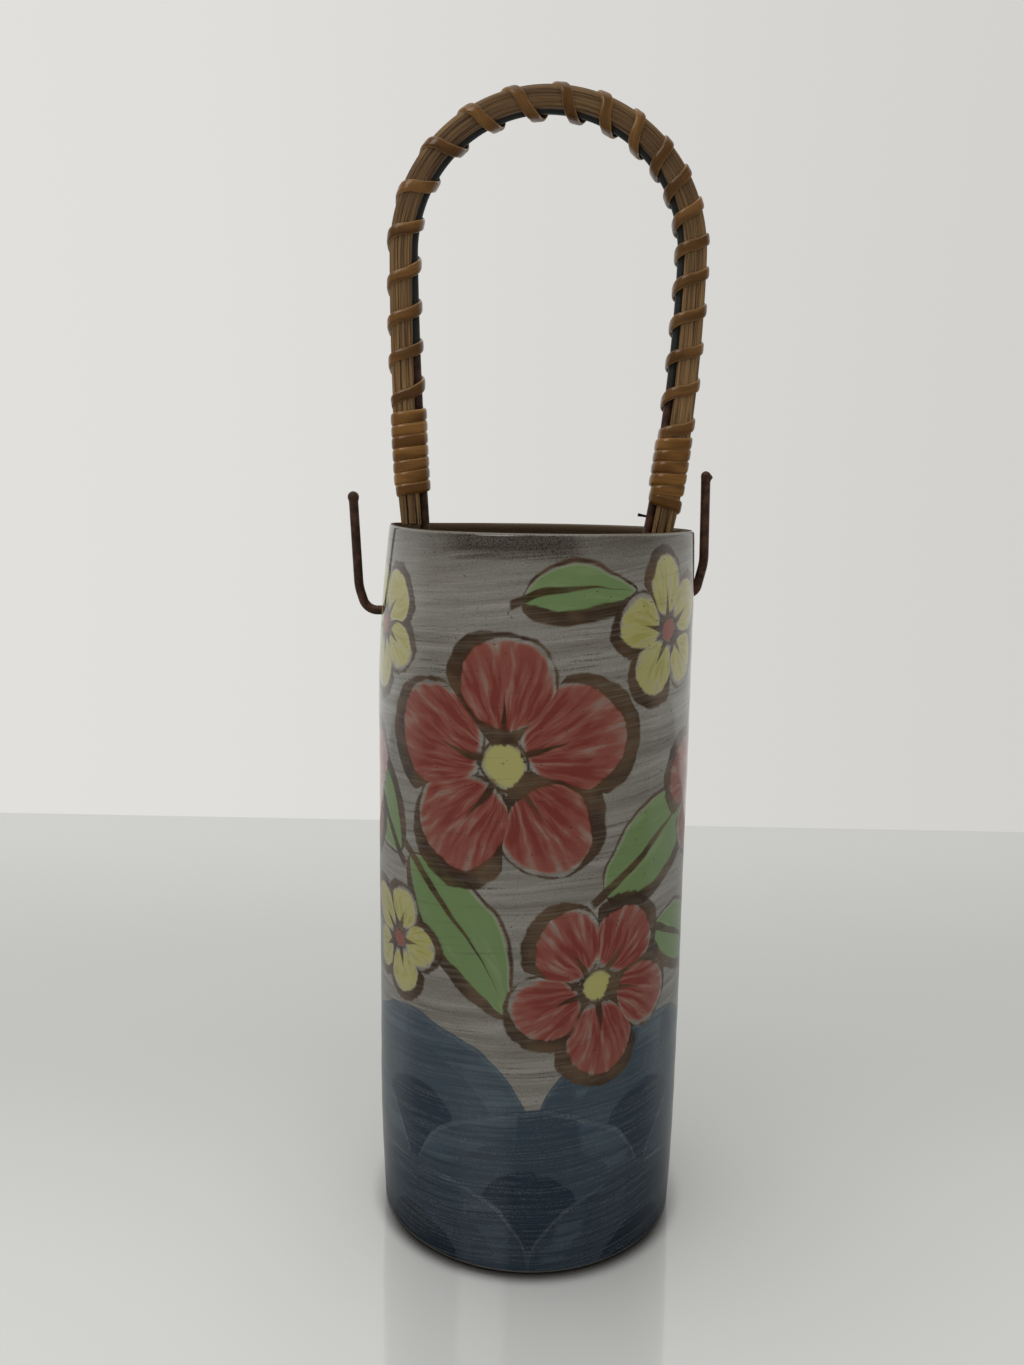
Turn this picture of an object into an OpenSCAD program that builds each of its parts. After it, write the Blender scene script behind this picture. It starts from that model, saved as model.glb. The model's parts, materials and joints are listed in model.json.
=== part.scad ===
// Ikebana vase with a bail handle.
// A wheel-thrown stoneware cylinder hangs from one bent wire. The wire runs up the inside of an arch
// of six split-bamboo splints, and split cane binds the splints and the wire into one grip.
// The part stands on z = 0 with its axis on Z. The bail lies in the XZ plane, seen from the front along +Y.

/* [Vase] */
// Outer diameter of the wall
vase_d = 75; // [65:0.5:90]
// Height from the table to the top of the lip
vase_h = 169.5; // [140:0.5:220]
// Thickness of the wall and of the rounded lip
wall_t = 3.8; // [3:0.1:5]
// Thickness of the floor above the foot recess
floor_t = 6; // [4:0.5:9]
// How far the wall draws in at the lip
lip_draw = 0.6; // [0:0.1:1.5]
// Height over which the lip draws in
lip_draw_h = 24; // [10:1:40]
// How far the wall draws in at the foot
foot_draw = 1.2; // [0:0.1:2]
// Height over which the foot draws in
foot_draw_h = 36; // [15:1:60]
// Radius of the corner at the foot
foot_corner = 1.2; // [1:0.1:4]
// Width of the ring that the vase stands on
foot_ring_w = 5; // [3:0.5:8]
// Depth of the recess inside that ring
foot_recess = 1.6; // [0.5:0.1:3]
// Radius of the corner between floor and wall inside
floor_corner = 8; // [3:0.5:12]

/* [Wire] */
// Diameter of the bail wire
wire_d = 2.1; // [1.6:0.1:3]
// Clearance round the wire in its two holes
hole_clear = 0.3; // [0.2:0.05:0.6]
// Depth of the left hole below the lip
left_hole_drop = 20; // [14:0.5:26]
// Depth of the right hole below the lip
right_hole_drop = 15; // [12:0.5:26]
// Distance from the wall to the middle of the left hook
left_hook_out = 3.6; // [3:0.1:9]
// Distance from the wall to the middle of the right hook
right_hook_out = 3.1; // [3:0.1:9]
// Length of each hook from the hole's axis to its bead
hook_rise = 26.5; // [18:0.5:36]
// Diameter of the melted bead on the end of each hook
bead_d = 2.8; // [2.2:0.1:4]
// Bend radius of the wire inside the vase
inner_bend_r = 4; // [2.5:0.5:5]

/* [Arch] */
// Height of the arch above the lip
arch_rise = 97; // [85:0.5:120]
// How far the arch stands out past its own legs, on average
arch_bulge = 3.6; // [2:0.1:5]
// Sideways lean of the top of the arch
arch_sway = 1.5; // [-1.5:0.1:1.5]
// Gap between each leg and the inside of the lip
leg_clear = 0.8; // [0.6:0.1:2]

/* [Splints] */
// Thickness of the outer pair of splints
outer_t = 2; // [1.4:0.1:2.6]
// Thickness of the middle pair of splints
middle_t = 1.9; // [1.4:0.1:2.6]
// Thickness of the inner pair that flanks the wire
inner_t = 1.05; // [0.8:0.05:1.5]
// Width of one splint, front to back
splint_w = 2.85; // [2.4:0.05:3.4]
// Clearance between neighbours in the bundle
splint_clear = 0.1; // [0.05:0.01:0.2]
// Depth of the left splint ends below the lip
left_splint_dip = -0.8; // [-2:0.1:4]
// Depth of the right splint ends below the lip
right_splint_dip = 3; // [-2:0.1:4]

/* [Cane] */
// Width of the cane strip
cane_w = 2.25; // [1.8:0.05:2.6]
// Thickness of the cane strip at its crown
cane_t = 0.8; // [0.5:0.05:1.2]
// Clearance between the cane and the bundle
cane_clear = 0.12; // [0.08:0.01:0.2]
// Clearance between neighbouring turns of a collar
collar_clear = 0.47; // [0.45:0.01:0.8]
// Turns in the left collar
left_collar_turns = 7; // [4:1:9]
// Turns in the right collar
right_collar_turns = 5; // [4:1:9]
// Height of the left collar above the lip
left_collar_up = 7; // [5:0.5:12]
// Height of the right collar above the lip
right_collar_up = 7.6; // [6:0.5:12]
// Turns of the open spiral between the collars
spiral_turns = 20.5; // [12:0.5:24]
// How much wider the spiral is wound at its left end than on average
spiral_spread = 0.08; // [0:0.01:0.2]
// Height that the tucked tail drops below the right collar
tail_drop = 2.9; // [2:0.1:4]

/* [Hidden] */
$fn = 96;

glaze_colour = "#8f8d88";
wire_colour = "#3b2a24";
splint_colour = "#6e5538";
cane_colour = "#8a6232";

// Vase: sizes that follow from the ones above
vase_r = vase_d / 2;
lip_r = wall_t / 2;
floor_z = foot_recess + floor_t;
mouth_r = wall_r(vase_h) - wall_t;
curve_steps = 8;
round_steps = 10;

// Line through the two wire holes, on which the bail swings
axis_tilt = atan2(left_hole_drop - right_hole_drop, vase_d);
axis_mid_z = vase_h - (left_hole_drop + right_hole_drop) / 2;
hole_d = wire_d + 2 * hole_clear;
bend_clear = 0.3;
crease_w = 0.2;
crease_proud = 0.02;

// Bundle section: n runs outwards in the plane of the arch, from the middle of the bundle
bundle_n = outer_t + middle_t + 2 * splint_clear + wire_d;
bundle_w = 2 * splint_w + splint_clear;
outer_n = bundle_n / 2;
middle_n = outer_n - outer_t - splint_clear;
inner_n = middle_n - middle_t - splint_clear;
wire_n = inner_n - wire_d / 2;
bundle_power = 3;
outline_steps = 48;

// Arch: a half circle on two long leg arcs that all meet tangent, measured on the middle of the bundle
leg_x = grid(mouth_r - leg_clear - bundle_n / 2);
arch_r = leg_x + arch_bulge;
arch_z = vase_h + arch_rise - arch_r - bundle_n / 2;
leg_h = arch_z - vase_h;
left_turn = 2 * atan((arch_bulge - arch_sway) / leg_h);
right_turn = 2 * atan((arch_bulge + arch_sway) / leg_h);
left_leg_r = grid(leg_h / sin(left_turn));
right_leg_r = grid(leg_h / sin(right_turn));
left_centre = [arch_sway - arch_r + left_leg_r, arch_z];
top_centre = [arch_sway, arch_z];
right_centre = [arch_sway + arch_r - right_leg_r, arch_z];
left_len = left_leg_r * left_turn * PI / 180;
top_len = arch_r * PI;
right_len = right_leg_r * right_turn * PI / 180;
arch_len = left_len + top_len + right_len;

// Cane: rings in each turn, and where each strip starts and ends along the arch
cane_rings = 18;
cane_shoulder = 0.45;
collar_pitch = cane_w + collar_clear;
strip_gap = 0.6;
left_collar_from = left_collar_up + cane_w / 2;
left_collar_to = left_collar_from + collar_pitch * left_collar_turns;
right_collar_to = arch_len - right_collar_up - cane_w / 2;
right_collar_from = right_collar_to - collar_pitch * right_collar_turns;
spiral_from = left_collar_to + cane_w + strip_gap;
spiral_to = right_collar_from - cane_w - strip_gap;
tail_from = right_collar_to + collar_pitch;
tail_turns = 0.62;
tail_start_angle = 200;

// Outer radius of the wall at a height
function wall_r(z) = vase_r
    - foot_draw * pow(max(0, 1 - z / foot_draw_h), 2)
    - lip_draw * pow(max(0, 1 - (vase_h - z) / lip_draw_h), 2);

// Points on an arc in the drawing plane
function arc(centre, r, from, to, steps) =
    [for (i = [0:steps]) centre + r * dir(from + (to - from) * i / steps)];
function dir(a) = [cos(a), sin(a)];
function unit(v) = v / norm(v);

// Rounds a length to the hundredth, so that arcs which share an end face meet exactly
function grid(x) = round(x * 100) / 100;

// Heights at which the outline of the wall bends
function foot_levels() =
    [for (i = [1:curve_steps]) foot_corner + (foot_draw_h - foot_corner) * i / curve_steps];
function lip_levels() =
    [for (i = [0:curve_steps - 1]) vase_h - lip_draw_h + (lip_draw_h - lip_r) * i / curve_steps];

// Half section of the vase: up the outside, over the lip and down the inside
function vase_section() =
    let (
        levels = concat(foot_levels(), lip_levels()),
        lip_z = vase_h - lip_r,
        lip_x = wall_r(lip_z) - lip_r,
        foot_x = wall_r(foot_corner) - foot_corner,
        inner_levels = [for (i = [len(levels) - 1:-1:0]) if (levels[i] > floor_z + floor_corner) levels[i]],
        inner_foot_z = floor_z + floor_corner,
        inner_foot_x = wall_r(inner_foot_z) - wall_t - floor_corner
    )
    concat(
        [[0, foot_recess], [foot_x - foot_ring_w - foot_recess / 2, foot_recess], [foot_x - foot_ring_w, 0]],
        arc([foot_x, foot_corner], foot_corner, -90, 0, round_steps),
        [for (z = levels) [wall_r(z), z]],
        arc([lip_x, lip_z], lip_r, 0, 180, 2 * round_steps),
        [for (z = inner_levels) [wall_r(z) - wall_t, z]],
        arc([inner_foot_x, inner_foot_z], floor_corner, 0, -90, round_steps),
        [[0, floor_z]]
    );

module vase_body() {
    color(glaze_colour) difference() {
        rotate_extrude() polygon(vase_section());
        translate([0, 0, axis_mid_z]) rotate([0, 90 - axis_tilt, 0])
            cylinder(d = hole_d, h = 2 * vase_d, center = true);
    }
}

// Lays a drawing of the XY plane into the upright plane of the bail
module upright() {
    rotate([90, 0, 0]) children();
}

// Sweeps a section along one arc of the bail; the section's x is n and its y is towards the front
module arc_sweep(centre, r, from, turn) {
    translate(centre) rotate([0, 0, from]) rotate_extrude(angle = turn) translate([r, 0]) children();
}

// Sweeps a section along the whole bail, down to a depth below the lip on each side
module bail_sweep(left_dip, right_dip) {
    left_end = asin((leg_h + left_dip) / left_leg_r);
    right_end = asin((leg_h + right_dip) / right_leg_r);
    upright() {
        arc_sweep(left_centre, left_leg_r, 180, left_end) children();
        arc_sweep(top_centre, arch_r, 0, 180) children();
        translate(right_centre) mirror([0, 1, 0]) arc_sweep([0, 0], right_leg_r, 0, right_end) children();
    }
}

// Bends a length of wire move by move, like a wire bender: each move is a run [length] or a bend
// [radius, angle], and the next one starts where it ends. The wire sets out along +Y of the drawing
// plane and a positive angle turns left. A narrow crease at each joint fuses the two lengths there.
module bent_wire(moves, i = 0) {
    if (i < len(moves)) {
        move = moves[i];
        wire_crease();
        if (len(move) == 1) {
            translate([0, crease_w / 4, 0]) rotate([-90, 0, 0])
                cylinder(d = wire_d, h = move[0] - crease_w / 2);
            translate([0, move[0], 0]) bent_wire(moves, i + 1);
        } else {
            turn = abs(move[1]);
            side = sign(move[1]);
            mirror([side < 0 ? 1 : 0, 0, 0]) wire_arc([-move[0], 0], move[0], turn);
            translate([-side * move[0] * (1 - cos(turn)), move[0] * sin(turn), 0]) rotate([0, 0, move[1]])
                bent_wire(moves, i + 1);
        }
    } else
        sphere(d = bead_d);
}

// Arc of wire that stops just short of the joint at each of its ends
module wire_arc(centre, r, turn) {
    short = crease_w / 4 / r * 180 / PI;
    arc_sweep(centre, r, short, turn - 2 * short) circle(d = wire_d);
}

// Faint band round the wire where a bend begins or ends
module wire_crease() {
    rotate([90, 0, 0]) cylinder(d = wire_d + crease_proud, h = crease_w, center = true);
}

// Half of the wire below the arch, drawn for the left side: down the leg, out through the wall and up
// into a hook with a bead. It starts at the foot of the half circle and heads straight down.
module wire_leg(leg_r, leg_turn, start_x, tilt, hook_out) {
    start = [start_x, arch_z];
    leg_end = start + [leg_r * (1 - cos(leg_turn)), -leg_r * sin(leg_turn)];
    // Where the leg would meet the line through the holes
    drop = (leg_end.y - axis_mid_z - leg_end.x * tan(tilt)) / (cos(leg_turn) + sin(leg_turn) * tan(tilt));
    corner = leg_end + drop * [sin(leg_turn), -cos(leg_turn)];
    inner_turn = 90 + leg_turn - tilt;
    hook_bend_r = hook_out - bend_clear;
    inner_reach = inner_bend_r * tan(inner_turn / 2);
    through = (vase_r + hook_out + corner.x) / cos(tilt) - inner_reach - hook_bend_r;
    translate(start) rotate([0, 0, 180]) bent_wire([
        [leg_r, leg_turn],
        [drop - inner_reach],
        [inner_bend_r, -inner_turn],
        [through],
        [hook_bend_r, -90],
        [hook_rise - hook_bend_r]
    ]);
}

module bail_wire() {
    color(wire_colour) upright() {
        wire_arc(top_centre, arch_r + wire_n, 180);
        wire_leg(left_leg_r + wire_n, left_turn, arch_sway - arch_r - wire_n, axis_tilt, left_hook_out);
        mirror([1, 0, 0])
            wire_leg(right_leg_r + wire_n, right_turn, -arch_sway - arch_r - wire_n, -axis_tilt, right_hook_out);
    }
}

// Rounded outline that the whole bundle is trimmed to, and that the cane lies on
function rounded(a, b, angle) = [
    a * sign(cos(angle)) * pow(abs(cos(angle)), 2 / bundle_power),
    b * sign(sin(angle)) * pow(abs(sin(angle)), 2 / bundle_power)
];

// Section of one splint: a strip of the bundle from n_low to n_high, y_low to y_high in from the middle
module splint_section(n_low, n_high, y_low, y_high, side) {
    intersection() {
        polygon([for (i = [0:outline_steps - 1])
            rounded(bundle_n / 2, bundle_w / 2, 360 * i / outline_steps)]);
        translate([n_low, side > 0 ? y_low : -y_high]) square([n_high - n_low, y_high - y_low]);
    }
}

module splint(n_high, thickness, y_low, side) {
    color(splint_colour) bail_sweep(left_splint_dip, right_splint_dip)
        splint_section(n_high - thickness, n_high, y_low, bundle_w / 2, side);
}

module outer_splint(side) {
    splint(outer_n, outer_t, splint_clear / 2, side);
}

module middle_splint(side) {
    splint(middle_n, middle_t, splint_clear / 2, side);
}

module inner_splint(side) {
    splint(inner_n, inner_t, wire_d / 2 + splint_clear, side);
}

// Frame of the arch at a length along it: its point, then the direction that faces outwards
function arch_frame(s) =
    s < left_len ? arc_frame(left_centre, left_leg_r, 180 + left_turn - s / left_leg_r * 180 / PI)
    : s < left_len + top_len ? arc_frame(top_centre, arch_r, 180 - (s - left_len) / arch_r * 180 / PI)
    : arc_frame(right_centre, right_leg_r, -(s - left_len - top_len) / right_leg_r * 180 / PI);
function arc_frame(centre, r, a) = [
    [centre.x + r * cos(a), 0, centre.y + r * sin(a)],
    [cos(a), 0, sin(a)]
];

// Place of the cane's inner face at a length along the arch and an angle round the bundle
function cane_place(s, angle) =
    let (
        frame = arch_frame(s),
        around = rounded(bundle_n / 2 + cane_clear, bundle_w / 2 + cane_clear, angle)
    )
    frame[0] + frame[1] * around[0] - [0, 1, 0] * around[1];

// Direction that faces away from the bundle at that place
function cane_out(s, angle) =
    let (
        frame = arch_frame(s),
        around = rounded(1, 1, angle),
        lean = [for (i = [0:1]) sign(around[i]) * pow(abs(around[i]), bundle_power - 1)]
    )
    unit(frame[1] * lean[0] / bundle_n - [0, 1, 0] * lean[1] / bundle_w);

// Section of the cane: flat below, crowned above, as steps across and away from the bundle
function cane_section() = [
    [-cane_w / 2, 0], [cane_w / 2, 0], [cane_w / 2, cane_shoulder * cane_t],
    [cane_w / 4, cane_t], [-cane_w / 4, cane_t], [-cane_w / 2, cane_shoulder * cane_t]
];

// One ring of the strip at a place on its path, square to the path
function cane_ring(path, i) =
    let (
        last = len(path) - 1,
        here = path[i],
        along = unit(cane_place(path[min(i + 1, last)][0], path[min(i + 1, last)][1])
            - cane_place(path[max(i - 1, 0)][0], path[max(i - 1, 0)][1])),
        out = cane_out(here[0], here[1]),
        across = unit(cross(along, out))
    )
    [for (p = cane_section()) cane_place(here[0], here[1]) + across * p[0] + out * p[1]];

function strip_rings(path) = [for (i = [0:len(path) - 1]) cane_ring(path, i)];

// Triangles of a closed strip: its sides, then a fan across each end
function strip_faces(rings, sides) =
    let (tail = (rings - 1) * sides)
    concat(
        [for (i = [0:rings - 2], j = [0:sides - 1], half = [0:1])
            let (
                a = i * sides + j,
                b = i * sides + (j + 1) % sides
            )
            half == 0 ? [a, b, b + sides] : [a, b + sides, a + sides]],
        [for (j = [1:sides - 2]) [0, j + 1, j]],
        [for (j = [1:sides - 2]) [tail, tail + j, tail + j + 1]]
    );

// Least distance between points of the strip that lie from half a turn to a turn and a half apart
function strip_gap_to_itself(rings) =
    min([for (i = [0:len(rings) - 1],
        k = [i + floor(cane_rings / 2):min(len(rings) - 1, i + floor(cane_rings * 1.5))],
        p = rings[i], q = rings[k]) norm(p - q)]);

module strip(path, name) {
    rings = strip_rings(path);
    if (len(path) > 1.5 * cane_rings)
        echo(str(name, " least gap to itself, mm: "), strip_gap_to_itself(rings));
    color(cane_colour) polyhedron(
        points = [for (ring = rings, p = ring) p],
        faces = strip_faces(len(rings), len(cane_section()))
    );
}

// Path of an even winding: pairs of length along the arch and angle round the bundle
function winding(from, to, turns, start_angle) =
    let (rings = ceil(abs(turns) * cane_rings))
    [for (i = [0:rings]) [from + (to - from) * i / rings, start_angle + 360 * turns * i / rings]];

module cane_spiral() {
    rings = ceil(spiral_turns * cane_rings);
    strip([for (i = [0:rings])
        let (share = i / rings)
        [spiral_from + (spiral_to - spiral_from) * (share + spiral_spread * share * (1 - share)),
            360 * spiral_turns * share]
    ], "cane_spiral");
}

module left_collar() {
    strip(winding(left_collar_from, left_collar_to, left_collar_turns, 0), "left_collar");
}

module right_collar() {
    strip(winding(right_collar_from, right_collar_to, right_collar_turns, 180), "right_collar");
}

// The tucked end of the cane: it slants back across the front below the right collar
module cane_tail() {
    strip(winding(tail_from, tail_from + tail_drop, -tail_turns, tail_start_angle), "cane_tail");
}

vase_body();
bail_wire();
outer_splint(1);  // splint_outer_front
outer_splint(-1);  // splint_outer_back
middle_splint(1);  // splint_middle_front
middle_splint(-1);  // splint_middle_back
inner_splint(1);  // splint_inner_front
inner_splint(-1);  // splint_inner_back
cane_spiral();
left_collar();
right_collar();
cane_tail();
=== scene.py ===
# %% [markdown]
# A glazed flower vase carries a bail of bamboo splints, a bent wire and split cane. The imported model gives
# every size and place, so this first step only loads it.
# Blender then dresses the pieces where they are, so that the looks and the solids stay one object.

# %% Load the frame
import json
import math

import bmesh
import bpy
import numpy as np
from mathutils import Matrix, Vector


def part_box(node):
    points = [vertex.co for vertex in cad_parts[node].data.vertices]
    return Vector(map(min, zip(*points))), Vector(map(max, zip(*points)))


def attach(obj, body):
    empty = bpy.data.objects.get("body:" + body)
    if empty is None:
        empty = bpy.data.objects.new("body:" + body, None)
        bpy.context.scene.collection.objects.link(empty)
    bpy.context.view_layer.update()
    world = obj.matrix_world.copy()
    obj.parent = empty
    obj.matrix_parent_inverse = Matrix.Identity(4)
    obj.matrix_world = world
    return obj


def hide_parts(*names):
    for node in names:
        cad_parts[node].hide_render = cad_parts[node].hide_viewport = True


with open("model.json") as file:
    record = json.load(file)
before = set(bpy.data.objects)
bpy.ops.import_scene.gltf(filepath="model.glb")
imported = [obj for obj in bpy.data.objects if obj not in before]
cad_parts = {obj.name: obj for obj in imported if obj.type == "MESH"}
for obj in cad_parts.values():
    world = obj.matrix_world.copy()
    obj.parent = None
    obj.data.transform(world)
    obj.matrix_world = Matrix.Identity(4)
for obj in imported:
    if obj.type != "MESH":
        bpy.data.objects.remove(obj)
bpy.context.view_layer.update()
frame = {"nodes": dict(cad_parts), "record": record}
print("frame loaded with nodes:", ", ".join(sorted(frame["nodes"])))

# %% [markdown]
# A maker thinks in millimetres and Blender in metres. Sizes could all be typed in, but then they would
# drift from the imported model. So they are read from the boxes of its nodes where a box shows them, and the
# few that a box can't show are named values in millimetres.

# %% Sizes of the vase and the bail
MM = 0.001
# The bundle of splints: its thickness from the loop outwards, and its width from front to back
BUNDLE_N, BUNDLE_Y = 6.2, 5.8
LEG_FOOT_X = 29.2
WIRE_D = 2.1


def box_mm(node):
    """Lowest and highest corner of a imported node, in millimetres."""
    return [np.array(corner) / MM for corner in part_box(node)]


vase_low, vase_high = box_mm("vase_body")
arch_low, arch_high = box_mm("splint_outer_front")
LIP_Z = vase_high[2]
VASE_R = (vase_high[0] - vase_low[0]) / 2
ARCH_X = (arch_low[0] + arch_high[0]) / 2
ARCH_R = (arch_high[0] - arch_low[0]) / 2 - BUNDLE_N / 2
ARCH_Z = arch_high[2] - ARCH_R - BUNDLE_N / 2
swing = frame["record"]["behaviour"]["joints"][0]
HINGE = np.array(swing["pos_m"]) / MM
HINGE_AXIS = np.array(swing["axis"])
print(f"vase {2 * VASE_R:.1f} mm across and {LIP_Z:.1f} mm tall, arch radius {ARCH_R:.2f} mm")

# %% [markdown]
# The camera stands where the picture was taken: a little to the left, level with the arch's feet, close
# to the vase and tipped down. A long lens from further off would frame the vase as well, but a wide lens
# this close makes the foot look narrower than the lip, so its distance matters as much as its angle.
# The picture is also rolled by less than a degree.

# %% Camera
CAMERA_PLACE = (-5.4, -263.8, 178.3)
CAMERA_PITCH = 9.90
CAMERA_ROLL = 0.75
FOCAL_PIXELS = 1104
PHOTO_HEIGHT = 1365
SENSOR = 36.0
NEAREST = 0.01

lens = bpy.data.cameras.new("camera")
lens.sensor_width = SENSOR
lens.lens = FOCAL_PIXELS / PHOTO_HEIGHT * SENSOR
lens.clip_start = NEAREST
camera = bpy.data.objects.new("camera", lens)
bpy.context.scene.collection.objects.link(camera)
camera.matrix_world = (
    Matrix.Translation(Vector(CAMERA_PLACE) * MM)
    @ Matrix.Rotation(math.radians(90 - CAMERA_PITCH), 4, "X")
    @ Matrix.Rotation(math.radians(CAMERA_ROLL), 4, "Z")
)
bpy.context.scene.camera = camera
print(f"camera lens {lens.lens:.1f} mm at {CAMERA_PLACE} mm")

# %% [markdown]
# Every finish below is a tree of nodes. Such a tree can be wired by hand in the shader editor, but a script
# can be read, compared and run again. It is easiest to read when each node is one short call, so this
# helper adds a node, links what is a socket, sets what is a plain number and hands back the output.

# %% Helper for node trees
class Graph:
    """Adds nodes to one tree. Inputs may be sockets or plain values."""

    def __init__(self, tree):
        self.tree = tree

    def plug(self, socket, value):
        if isinstance(value, bpy.types.NodeSocket):
            self.tree.links.new(value, socket)
        else:
            socket.default_value = value

    def node(self, kind, inputs=(), **settings):
        made = self.tree.nodes.new(kind)
        for name, value in settings.items():
            setattr(made, name, value)
        for key, value in dict(inputs).items():
            self.plug(made.inputs[key], value)
        return made

    def math(self, operation, *values):
        return self.node("ShaderNodeMath", dict(enumerate(values)), operation=operation).outputs[0]

    def add(self, a, b):
        return self.math("ADD", a, b)

    def sub(self, a, b):
        return self.math("SUBTRACT", a, b)

    def mul(self, a, b):
        return self.math("MULTIPLY", a, b)

    def div(self, a, b):
        return self.math("DIVIDE", a, b)

    def size(self, value):
        """A value without its sign."""
        return self.math("ABSOLUTE", value)

    def hypot(self, a, b):
        """Distance from the middle for two distances at right angles."""
        return self.math("SQRT", self.add(self.mul(a, a), self.mul(b, b)))

    def largest(self, first, *others):
        for other in others:
            first = self.math("MAXIMUM", first, other)
        return first

    def step(self, value, low, high, out_low=0.0, out_high=1.0):
        """Smooth step of value from low to high; low may be the larger, which turns it over."""
        made = self.node("ShaderNodeMapRange", {0: value, 1: low, 2: high, 3: out_low, 4: out_high},
                         interpolation_type="SMOOTHSTEP")
        return made.outputs[0]

    def vector(self, x=0.0, y=0.0, z=0.0):
        return self.node("ShaderNodeCombineXYZ", {0: x, 1: y, 2: z}).outputs[0]

    def split(self, vector):
        return self.node("ShaderNodeSeparateXYZ", {0: vector}).outputs

    def place(self):
        """Place on the object, in metres."""
        return self.node("ShaderNodeTexCoord").outputs["Object"]

    def place_mm(self):
        """Place on the object, in millimetres."""
        made = self.node("ShaderNodeVectorMath", {0: self.place(), "Scale": 1 / MM}, operation="SCALE")
        return made.outputs[0]

    def noise(self, vector, scale=1.0, detail=2.0, roughness=0.5):
        made = self.node("ShaderNodeTexNoise",
                         {"Vector": vector, "Scale": scale, "Detail": detail, "Roughness": roughness})
        return made.outputs["Fac"]

    def mix(self, share, a, b):
        made = self.node("ShaderNodeMix", data_type="RGBA")
        for socket, value in ((0, share), (6, a), (7, b)):
            self.plug(made.inputs[socket], value)
        return made.outputs[2]

    def layer(self, under, over, mask, span, share=1.0):
        """A colour over another, setting in over a span of a mask, up to a share."""
        return self.mix(self.step(mask, *span, 0.0, share), under, over)

    def group(self, tree, inputs):
        return self.node("ShaderNodeGroup", inputs, node_tree=tree).outputs


print("node trees can be written with", Graph.__name__)

# %% [markdown]
# A group is a tree with named sockets that several materials can hold, so an effect such as grain is built
# once. A material starts as a Principled BSDF and its output, and stays the place for shaders. Colours are
# written here as a screen shows them, because that is how they are read off a thing, and are turned into
# the linear values that Blender mixes.

# %% Helpers for groups, materials and colours
def new_group(name, inputs, outputs):
    """An empty shader node group with named sockets; returns its tree, a Graph, its inputs and its end."""
    tree = bpy.data.node_groups.new(name, "ShaderNodeTree")
    kinds = {"v": "NodeSocketVector", "f": "NodeSocketFloat"}
    for socket, kind in inputs.items():
        tree.interface.new_socket(socket, in_out="INPUT", socket_type=kinds[kind])
    for socket, kind in outputs.items():
        tree.interface.new_socket(socket, in_out="OUTPUT", socket_type=kinds[kind])
    graph = Graph(tree)
    start = graph.node("NodeGroupInput").outputs
    end = graph.node("NodeGroupOutput").inputs
    return tree, graph, start, end


def new_material(name):
    """A material with only its Principled BSDF and output; returns it, a Graph and the shader's inputs."""
    material = bpy.data.materials.new(name)
    material.use_nodes = True
    return material, Graph(material.node_tree), material.node_tree.nodes["Principled BSDF"].inputs


def srgb(red, green, blue):
    """A colour as a screen shows it, 0 to 255, in linear values."""
    def linear(value):
        value /= 255
        return value / 12.92 if value <= 0.04045 else ((value + 0.055) / 1.055) ** 2.4
    return (linear(red), linear(green), linear(blue), 1.0)


print("helpers ready:", new_group.__name__, new_material.__name__, srgb.__name__)

# %% [markdown]
# The vase stands on a pale board, and the board's far edge draws a faint, slightly slanting line behind it.
# A sheet that curves up at the back would hide that line. So the floor is one flat face that ends a little
# way behind the vase, further back on the left than on the right.

# %% Floor
FLOOR_BACK_LEFT, FLOOR_BACK_RIGHT = 0.333, 0.297
FLOOR_FRONT = -0.30
FLOOR_SIDE = 0.9

floor_mesh = bpy.data.meshes.new("floor")
floor_mesh.from_pydata(
    [(-FLOOR_SIDE, FLOOR_FRONT, 0), (FLOOR_SIDE, FLOOR_FRONT, 0),
     (FLOOR_SIDE, FLOOR_BACK_RIGHT, 0), (-FLOOR_SIDE, FLOOR_BACK_LEFT, 0)], [], [(0, 1, 2, 3)])
floor = bpy.data.objects.new("floor", floor_mesh)
bpy.context.scene.collection.objects.link(floor)
print("floor laid,", 2 * FLOOR_SIDE, "m wide")

# %% [markdown]
# The board is polished, so it mirrors the foot, and close round the foot lies a dark line that little light
# reaches. Lamps alone leave that line too pale under such even light, so an Ambient Occlusion node finds
# how shut in each spot is and darkens it. Seen in the glaze, the board is darker than it is, which keeps
# the wall deep in colour near the foot. Light Path tells those rays from the camera's own.

# %% Finish of the floor
# The board's tones are painted light: lighter in front and darker further back, as more light fell on its
# front.
FLOOR_NEAR, FLOOR_FAR, FLOOR_EDGE = srgb(176, 176, 174), srgb(154, 155, 153), srgb(166, 167, 165)
NEAR_TO_FAR, FAR_TO_EDGE = (-0.08, 0.08), (0.12, 0.30)
FLOOR_SHADE = srgb(40, 38, 36)
SHADE, SHADE_BEHIND = 0.95, 0.3
SHADE_REACH = 0.006
SHADE_OPEN, SHADE_TURNS = (0.5, 0.92), (0.005, -0.025)
POLISH_ROUGH, POLISH_IOR = 0.05, 2.25
DARK_BOARD = srgb(60, 60, 60)
DIM_BACK, DIM_FRONT, DIM_TURNS = 0.5, 0.85, (0.02, -0.03)

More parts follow.
